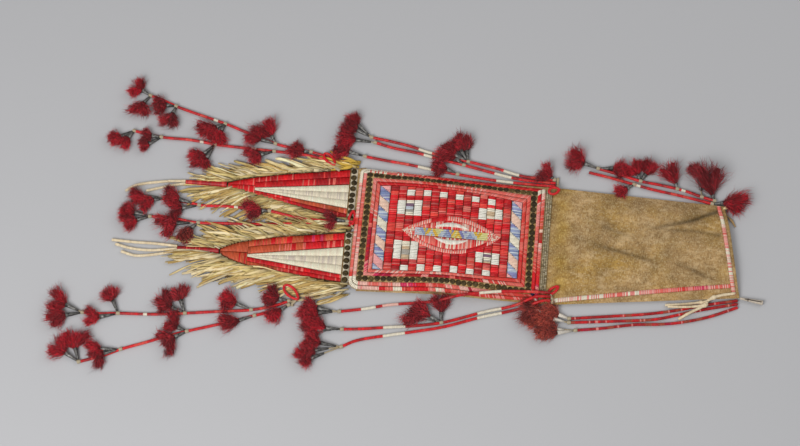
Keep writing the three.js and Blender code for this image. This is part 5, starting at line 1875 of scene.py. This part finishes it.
# Each lane: the ends of its inner and its outer edge, the number of its folds and its dyes
POUCH_LANES = {
    "mouth_quill_lane": (
        ((0.962, -0.94), (0.954, 0.985)), ((0.984, -0.94), (0.976, 0.985)), 88, MOUTH_RUNS),
    "seam_quill_lane": (
        ((-0.01, -0.91), (0.96, -0.72)), ((-0.01, -0.98), (0.96, -0.8)), 165, SEAM_RUNS),
}
for lane, setting in POUCH_LANES.items():
    pouch_lane(lane, *setting)


# Tabs

def tab_reach(name, side, along):
    """How far a tab reaches to one side of its middle line."""
    root, swell = TABS[name][1][side]
    share = along / TAB_LENGTH
    return root + (TAB_TIP_HALF - root) * share + swell * share * (1 - share**6)


def tab_lay(y_place):
    """Lays a place on a tab, given along it from its root and across it, in the bag's frame."""
    def lay(along, across, lift):
        z = HIDE + lift + TAB_RIPPLE * (1 + ripple(along * 1.6, across * 1.4 + y_place))
        return np.stack(np.broadcast_arrays(TAB_ROOT_X - along, y_place + across, z), -1)
    return lay


def add_tab_hide(name, lay):
    """The hide of a tab, painted dark as shade where quills cover it."""
    alongs = np.linspace(0, TAB_LENGTH, TAB_ROWS)
    across = np.linspace(-1, 1, TAB_COLUMNS)
    rings = []
    for along in alongs:
        wide = across * np.where(across > 0, tab_reach(name, 1, along), tab_reach(name, -1, along))
        top = lay(along, wide, np.zeros(TAB_COLUMNS))
        bottom = top[::-1].copy()
        bottom[:, 2] = TAB_UNDERSIDE
        rings.append(np.concatenate([top, bottom]))
    # Painted shade: dark under the quills, light where the hide is bare near the root
    bare = 0.25 + 1.15 * smoothstep(-alongs, -TAB_LANES_X - 1 * MM, -TAB_LANES_X + 1 * MM)
    bundle = Bundle()
    loft(bundle, np.array(rings), np.repeat(bare, 3).reshape(-1, 1, 3))
    hide = bundle.make(f"{name}_hide_sheet", SUEDE, "suede_hide", f"{name}_hide")
    edges = TABS[name][1].values()
    root = sum(reach for reach, _ in edges)
    area = (root / 2 + TAB_TIP_HALF + MEAN_SWELL * sum(swell for _, swell in edges)) * TAB_LENGTH


def sheaf(bundle, lay, top, bottom, low, high, count, pitch, dye_lane, apart=0.0):
    """Lanes side by side between two edges, which give the place across a tab at a place along it.

    The lanes stand a little apart, or lap over each other where apart is below zero.
    """
    folds_each = round((high - low) / pitch)
    along = np.linspace(low, high, folds_each + 1)
    upper = np.column_stack([along, top(along)])
    lower = np.column_stack([along, bottom(along)])
    seam = apart / np.maximum(upper[:, 1] - lower[:, 1], 0.5 * MM)[:, None]
    for lane in range(count):
        first = upper + (lower - upper) * (lane / count + seam * (lane > 0))
        last = upper + (lower - upper) * ((lane + 1) / count - seam * (lane < count - 1))
        folds(bundle, between(first, last), dye_lane(lane, folds_each), lay)


def tab_reds(runs):
    """Dyes of red tab lanes: a mix for each run along the lane."""
    def dye_lane(lane, count):
        shares = (np.arange(count) + 0.5) / count
        dyes = run_dyes(shares, runs[lane % len(runs)], 0.13)
        tones = jitter(count, 0.12)
        return dyes * tones[bricks(count, 2, 6)]
    return dye_lane


# Dyes of each tab's lanes beside the wedge, and of its tip
OUTER_RUNS = {
    "upper_tab": [
        [(0.2, RED, BRIGHT), (0.4, DARK_RED, TOMATO), (0.62, RED, SALMON), (0.8, BRIGHT, SALMON),
         (1, RED, SALMON)],
        [(0.1, RED, PINK), (0.35, DARK_RED, SALMON), (0.6, BRIGHT, SALMON), (0.8, RED, BLUSH),
         (1, RED, TOMATO)],
    ],
    "lower_tab": [
        [(0.12, BRIGHT), (0.2, ORANGE, TOMATO), (0.34, BRIGHT, MAGENTA), (0.42, RED, ORANGE),
         (0.55, ORANGE, SALMON), (0.6, RED), (0.72, ORANGE, TOMATO), (0.76, RED), (1, ORANGE, TOMATO)],
        [(0.2, RED, SALMON), (0.42, BRIGHT, SALMON), (0.5, ORANGE, TOMATO), (0.54, RED),
         (0.7, ORANGE, SALMON), (1, ORANGE, RUST)],
    ],
}
INNER_RUNS = {
    "upper_tab": [
        [(0.45, ORANGE, SALMON), (0.6, ORANGE, TOMATO), (0.8, BRIGHT, SALMON), (1, RED, TOMATO)],
        [(0.5, DARK_RED, TOMATO), (0.65, RED, MAGENTA), (1, TOMATO, RED)],
    ],
    "lower_tab": [
        [(0.16, BRIGHT, SALMON), (0.6, RED, SALMON), (0.8, BRIGHT, TOMATO), (1, RED, TOMATO)],
        [(0.2, BRIGHT, SALMON), (0.55, RED, TOMATO), (0.68, TOMATO, SALMON), (1, ORANGE, RUST)],
    ],
}
TIP_RUNS = {
    "upper_tab": [[(0.5, BRIGHT, SALMON), (1, RED, TOMATO)]],
    "lower_tab": [[(0.4, ORANGE, RED), (1, ORANGE, RUST)]],
}
RED_LANES = 2
WEDGE_LANES = 3
TAB_FOLD = 1.65 * MM
WEDGE_FOLD = 1.35 * MM
# How far a lane of the wedge laps over the next
WEDGE_LAP = 0.22 * MM
WEDGE_WHITE = dye(250, 238, 212)
WEDGE_STAIN = dye(222, 208, 192)


def wedge_dyes(lane, count):
    """White folds, greyer in the middle lane, which is stained towards the root."""
    shares = (np.arange(count) + 0.5) / count
    grey = 0.93 if lane == 1 else 1.06
    dyes = WEDGE_WHITE * jitter(count, 0.06) * grey
    if lane == 1:
        stained = random.random(count) < 0.25 * (shares < 0.75)
        dyes[stained] = WEDGE_STAIN
    return dyes


def add_tab_quills(name, lay):
    """Red lanes on both sides of a white wedge, and the lanes of the tip."""
    roots = dict(zip((1, -1), TABS[name][2]))

    def edge(side):
        return lambda along: side * (tab_reach(name, side, along) - TAB_EDGE)

    def wedge(side, gap=0.0):
        def across(along):
            share = (along - TAB_LANES_X) / (WEDGE_TIP_X - TAB_LANES_X)
            tip = WEDGE_TIP_Y + side * WEDGE_TIP_HALF
            return roots[side] + (tip - roots[side]) * share + side * gap
        return across

    stretch = TAB_LANES_X, WEDGE_TIP_X
    tip = WEDGE_TIP_X + GAP, TAB_LENGTH - TAB_TIP_EDGE
    reds = RED_LANES, TAB_FOLD
    outer_dyes, tip_dyes, inner_dyes = (
        tab_reds(runs[name]) for runs in (OUTER_RUNS, TIP_RUNS, INNER_RUNS))
    outer = Bundle()
    sheaf(outer, lay, edge(1), wedge(1, WEDGE_GAP), *stretch, *reds, outer_dyes)
    sheaf(outer, lay, edge(1), edge(-1), *tip, *reds, tip_dyes)
    outer.make(f"{name}_outer_folds", QUILLS, "red_quill", f"{name}_outer_lanes")
    inner = Bundle()
    sheaf(inner, lay, wedge(-1, WEDGE_GAP), edge(-1), *stretch, *reds, inner_dyes)
    inner.make(f"{name}_inner_folds", QUILLS, "red_quill", f"{name}_inner_lane")
    white = Bundle()
    whites = WEDGE_LANES, WEDGE_FOLD
    sheaf(white, lay, wedge(1), wedge(-1), *stretch, *whites, wedge_dyes, -WEDGE_LAP)
    white.make(f"{name}_wedge_folds", QUILLS, "cream_quill", f"{name}_wedge")


TAB_SEQUIN_PITCH = 7.6 * MM
TAB_SEQUIN_MARGIN = 1.2 * MM
SEQUIN_STRIP = 0.6 * MM
SEQUIN_STRIP_DYE = dye(222, 210, 184)


def add_tab_sequins(name, lay):
    """A row of sequins on a strip of pale quills."""
    def over(along, across, lift):
        return lay(along, across, lift + SEQUIN_STRIP)

    low, high = (tab_reach(name, side, TAB_SEQUIN_X) - TAB_SEQUIN_MARGIN for side in (-1, 1))
    half = SEQUIN / 2
    count = round((low + high) / QUILL)
    across = np.linspace(-low, high, count + 1)
    sides = (TAB_SEQUIN_X + half, TAB_SEQUIN_X - half - MM)
    edges = [np.column_stack([np.full(count + 1, along), across]) for along in sides]
    strip = Bundle()
    folds(strip, between(*edges), SEQUIN_STRIP_DYE * jitter(count, 0.06), lay, SEQUIN_STRIP)
    strip.make(f"{name}_sequin_strip", QUILLS, "cream_quill")
    bundle = Bundle()
    row = sequin_row((TAB_SEQUIN_X, half - low), (TAB_SEQUIN_X, high - half), TAB_SEQUIN_PITCH)
    sequins(bundle, row, over)
    bundle.make(f"{name}_sequin_row", SEQUINS, "sequin_metal", f"{name}_sequins")


def add_neck(name, y_place):
    """Quill-wrapped neck beyond the tab's tip."""
    count = round(NECK_LENGTH / (WRAP / 2))
    along = np.linspace(0, NECK_LENGTH, count)
    radius = np.linspace(*NECK_RADII, count)
    x = TAB_ROOT_X - TAB_LENGTH - GAP - along
    line = np.column_stack([x, np.full(count, y_place), radius * NECK_FLAT + FLOOR_GAP])
    dyes = np.repeat(DARK_RED * jitter(count // 2 + 1, 0.15), 2, axis=0)[:count]
    ticks = np.repeat(random.random(count // 2 + 1) < 0.14, 2)[:count]
    dyes[ticks] = TOMATO
    bundle = Bundle()
    wrapped(bundle, line, radius, dyes, NECK_FLAT)
    bundle.make(f"{name}_neck_wraps", QUILLS, "red_quill", f"{name}_neck")


# Fringe: side, strand length, how far out the first strands are rooted, the least and the most
# splay from the tab's edge in degrees at the tab's root, a quarter along it and at its tip, how
# many strands are rooted beyond the tip, and how high they pile up
SPLAY_SHARES = (0, 0.25, 1)
FRINGES = {
    ("upper_tab", "outer"): (1, 46 * MM, 7 * MM, (4, 5, 8), (26, 26.5, 28), 5, 6.5 * MM),
    ("upper_tab", "inner"): (-1, 56 * MM, 4 * MM, (4, 10, 16), (30, 42, 56), 6, 3 * MM),
    ("lower_tab", "outer"): (-1, 64 * MM, 15 * MM, (8, 7.5, 6), (34, 36, 42), 26, 6.5 * MM),
    ("lower_tab", "inner"): (1, 56 * MM, 18 * MM, (0, 12, 6), (6, 46, 36), 8, 9.5 * MM),
}
STRANDS = 200
# Colour of the lowest strands: painted shade under the layers above
SHADED_LOW_STRAW = dye(92, 68, 36)
STRAWS = [
    dye(234, 216, 168), dye(216, 192, 134), dye(246, 232, 194), dye(198, 168, 106), dye(222, 204, 142),
]
STAINED_STRAW = dye(226, 190, 84)
STRAND_STEPS = 9
STRAND_WIDTHS = (1.3 * MM, 2.4 * MM)
STRAND_FLAT = 0.24
STRAND_CLEAR = 0.3 * MM
STRAND_LIFT = 0.9 * MM
# Share of a tab's length over which its first strands are rooted further out, how far a strand
# may be rooted in on the tab, and the reach of the roots beyond the tip: along and aside
SPREAD_SHARE = 0.35
ROOT_LAP = 2.5 * MM
BEYOND_TIP = 14 * MM
BEYOND_ASIDE = (2.5 * MM, 7 * MM)


def strand(bundle, root, heading, length, height, colour):
    """One flat strip of hide, a little twisted and bent, with a blunt end."""
    s = np.linspace(0, 1, STRAND_STEPS)
    bend = random.normal(0, 10) * DEGREE
    wave = np.sin(TURN * (s * random.uniform(0.6, 1.5) + random.random()))
    angle = heading + bend * (s - 0.3) + 0.14 * wave
    step = length / (STRAND_STEPS - 1)
    way = np.column_stack([np.cos(angle), np.sin(angle)]) * step
    plan = root + np.concatenate([[[0, 0]], np.cumsum(way[:-1], axis=0)])
    wide = random.uniform(*STRAND_WIDTHS) * (0.85 + 0.15 * np.sin(TURN * (s * 1.5 + random.random())))
    wide = wide * (1 - 0.2 * smoothstep(s, 0.9, 1))
    twist = random.normal(0, 0.35) + random.normal(0, 1.0) * s + 0.4 * np.sin(TURN * s * 1.3)
    z = STRAND_LIFT + height * (0.7 + 0.3 * np.sin(math.pi * s)) * (1 - 0.4 * s)
    clear = STRAND_CLEAR + wide * (0.3 + 0.7 * np.abs(np.sin(twist)))
    line = np.column_stack([plan, np.maximum(z, clear)])
    # Painted shade at the strand's root, where it lies under other strands, and a little darker towards
    # its end
    shade = 0.55 + 0.45 * smoothstep(s, 0, 0.35) - 0.12 * smoothstep(s, 0.8, 1)
    streak = 1 + 0.09 * random.standard_normal(STRAND_STEPS)
    tube(bundle, line, wide, colour * (shade * streak)[:, None], 6, STRAND_FLAT, twist)


def straw(depth):
    """Colour of a strand: painted dark as shade low in the fringe, light on top."""
    light = STRAWS[random.integers(len(STRAWS))]
    return (SHADED_LOW_STRAW + (light - SHADED_LOW_STRAW) * smoothstep(depth, 0, 0.55)) * jitter(1, 0.12)[0]


def add_fringe(name, edge, y_place):
    """Strands in shingled layers, the low ones painted dark as shade, all rooted along one edge of a
    tab.
    """
    side, length, spread, least, most, beyond, pile = FRINGES[name, edge]
    slope = math.degrees(math.atan2(tab_reach(name, side, 0) - TAB_TIP_HALF, TAB_LENGTH))
    start = TAB_SEQUIN_X / 2
    bundle = Bundle()
    for i in range(STRANDS):
        share = (i + random.uniform(0, 1)) / STRANDS
        along = start + (TAB_LENGTH - start) * share
        depth = random.random()
        over = ROOT_LAP * smoothstep(share, SPREAD_SHARE, 0.8) * (edge == "inner") * (depth > 0.6)
        aside = spread * random.random() * max(1 - share / SPREAD_SHARE, 0) + GAP - over
        root = np.array([TAB_ROOT_X - along, y_place + side * (tab_reach(name, side, along) + aside)])
        low, high = (np.interp(share, SPLAY_SHARES, splays) for splays in (least, most))
        heading = math.pi - side * (random.uniform(low, high) + random.normal(0, 4) - slope) * DEGREE
        stained = name == "upper_tab" and edge == "outer" and random.random() > 6 * share
        colour = STAINED_STRAW if stained else straw(depth)
        long = length * random.uniform(0.5, 1.05) * (0.65 + 0.35 * smoothstep(depth, 0, 0.5))
        strand(bundle, root, heading, long, depth * pile, colour)
    for _ in range(beyond):
        x = TAB_ROOT_X - TAB_LENGTH - random.uniform(0, BEYOND_TIP)
        root = np.array([x, y_place + side * random.uniform(*BEYOND_ASIDE)])
        heading = math.pi - side * random.uniform(0, 16) * DEGREE
        depth = random.uniform(0.3, 1)
        strand(bundle, root, heading, random.uniform(0.55, 0.95) * length, depth * pile, straw(depth))
    bundle.make(f"{name}_{edge}_fringe_strands", STRAW, "straw_hide", f"{name}_{edge}_fringe")


def add_tabs():
    """Each tab with its quills, sequins, neck and fringes."""
    for name, (y_place, *_) in TABS.items():
        lay = tab_lay(y_place)
        add_tab_hide(name, lay)
        add_tab_quills(name, lay)
        add_tab_sequins(name, lay)
        add_neck(name, y_place)
        for edge in ("outer", "inner"):
            add_fringe(name, edge, y_place)


add_tabs()


# Loops and the corner cone

# Rings: middle in millimetres, half length, half width, heading of the long axis in degrees,
# height, and the route in millimetres of the stem that ties the ring down
RINGS = {
    "middle_loop": (
        (-120, 16.5), 9 * MM, 3.6 * MM, 84, 6.2 * MM,
        [(-120.5, 8, 4.5), (-118.5, 5.5, 3), (-115, 5, 2), (-110.5, 5, 2)]),
    "upper_head_loop": (
        (119.5, 68.5), 6.2 * MM, 4.4 * MM, 20, 10.2 * MM,
        [(123.5, 72, 7), (124, 77.3, 3.2), (124, 81, 0.8), (124, 88.5, 0.4)]),
    "lower_head_loop": (
        (124.5, -58.5), 7 * MM, 3 * MM, 42, 10.4 * MM,
        [(120.5, -63, 8.5), (122, -67, 8.3), (123.5, -71, 7.4), (123.5, -75, 6)]),
    "upper_foot_loop": (
        (-153.5, 91.5), 9.5 * MM, 4.4 * MM, -45, 5.4 * MM,
        [(-148.5, 86, 3), (-147, 82.5, 2.6), (-144, 80, 2.4), (-140, 78, 2.4)]),
    "lower_foot_loop": (
        (-183.5, -83), 11.5 * MM, 5.4 * MM, -42, 6 * MM,
        [(-176, -88.5, 4), (-178, -93, 2.4), (-181, -96, 1), (-181, -99, 0.4)]),
}
# The ring that stands for no solid of the frame
EXTRA_RINGS = ("middle_loop",)
STEM_DYE = dye(216, 204, 174)


def add_rings():
    """Closed teardrop rings of quill-wrapped thong, each on a short stem."""
    for name, (middle, long, wide, heading, height, stem) in RINGS.items():
        count = 2 * round(math.pi * (long + wide) / WRAP)
        angles = np.arange(count) * TURN / count
        pointed = 1 - 0.45 * (0.5 + 0.5 * np.cos(angles)) ** 3
        along = long * np.cos(angles)
        across = wide * np.sin(angles) * pointed
        turn = heading * DEGREE
        x = middle[0] * MM + along * math.cos(turn) - across * math.sin(turn)
        y = middle[1] * MM + along * math.sin(turn) + across * math.cos(turn)
        bundle = Bundle()
        ring_tube(bundle, np.column_stack([x, y, np.full(count, height)]), LOOP / 2)
        nodes = () if name in EXTRA_RINGS else (name,)
        bundle.make(f"{name}_ring", QUILLS, "red_quill", *nodes)
        tie = Bundle()
        line, _ = route(stem, LOOP, WRAP / 2)
        wrapped(tie, line, LOOP / 2, STEM_DYE * jitter(len(line), 0.06))
        tie.make(f"{name}_tie", SINEW, "straw_hide")


def ring_tube(bundle, line, radius):
    """Wrapped tube along a closed line, with painted shade in the grooves between wraps."""
    sides = 8
    side, rise = sides_of(unit(np.roll(line, -1, axis=0) - np.roll(line, 1, axis=0)))
    ridge = (np.arange(len(line)) % 2)[:, None, None]
    angles = np.arange(sides)[:, None] * TURN / sides
    around = np.cos(angles) * side[:, None] + np.sin(angles) * rise[:, None]
    rings = line[:, None] + radius * (0.88 + 0.12 * ridge) * around
    rows = len(line)
    # Every second ring is painted darker, as shade in the groove between wraps
    dyes = BRIGHT * jitter(rows, 0.1)[:, None] * (0.55 + 0.45 * ridge)
    bundle.add(rings, np.broadcast_to(dyes, rings.shape), skin(rows + 1, sides) % (rows * sides))


CORNER_CONE_HEADING = -8 * DEGREE
CORNER_CONE_ROWS = 21
CORNER_CONE_BAND = 7
CORNER_CONE_DYE = dye(224, 216, 204)
CORNER_BAND_DYE = dye(104, 82, 70)
CORNER_SEAM_SHADOW_DYE = dye(58, 48, 40)
CORNER_SEAM_RADIUS = 0.6 * MM


def add_corner_cone():
    """Pale cone at the mouth's lower corner, with a dark band, and a dark line along it for the lapped
    seam and its painted shadow.
    """
    low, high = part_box("mouth_corner_cone")
    length = high[0] - low[0]
    apex = np.array([low[0], (low[1] + high[1]) / 2, CONE_MOUTH + 2 * CONE_SHEET])
    rows = np.arange(CORNER_CONE_ROWS)
    paint = CORNER_CONE_DYE * (1 - 0.14 * (rows % 3 == 0))[:, None]
    paint[CORNER_CONE_BAND] = CORNER_BAND_DYE
    axis = np.array([math.cos(CORNER_CONE_HEADING), math.sin(CORNER_CONE_HEADING), 0])
    bundle = Bundle()
    rolled_cone(bundle, apex, axis, length, CONE_MOUTH, paint)
    # A dark tube along the top: the lapped seam, dark as a painted shadow
    shares = np.linspace(0.2, 0.94, 12)[:, None]
    radii = CONE_NECK + (CONE_MOUTH - CONE_NECK) * shares
    seam = apex + axis * length * shares + np.array([0, 0, 1]) * (radii + CONE_SHEET)
    tube(bundle, seam, CORNER_SEAM_RADIUS, CORNER_SEAM_SHADOW_DYE, 6)
    bundle.make("mouth_corner_rolled_cone", SINEW, "tin", "mouth_corner_cone")


# Tags: root in millimetres, heading, length, height and dye
MOUTH_TAGS = [
    ((322.5, 62.5), 20 * DEGREE, 8 * MM, 4 * MM, STRAWS[0]),
    ((321.5, 58), -35 * DEGREE, 9 * MM, 3.4 * MM, STRAWS[1]),
    ((327, 56), -50 * DEGREE, 19 * MM, 1.3 * MM, dye(186, 156, 112)),
]


def add_mouth_tags():
    """Short strips of hide left at the mouth's upper corner."""
    bundle = Bundle()
    for root, *build in MOUTH_TAGS:
        strand(bundle, np.array(root) * MM, *build)
    bundle.make("mouth_corner_tags", STRAW, "straw_hide")


add_rings()
add_corner_cone()
add_mouth_tags()
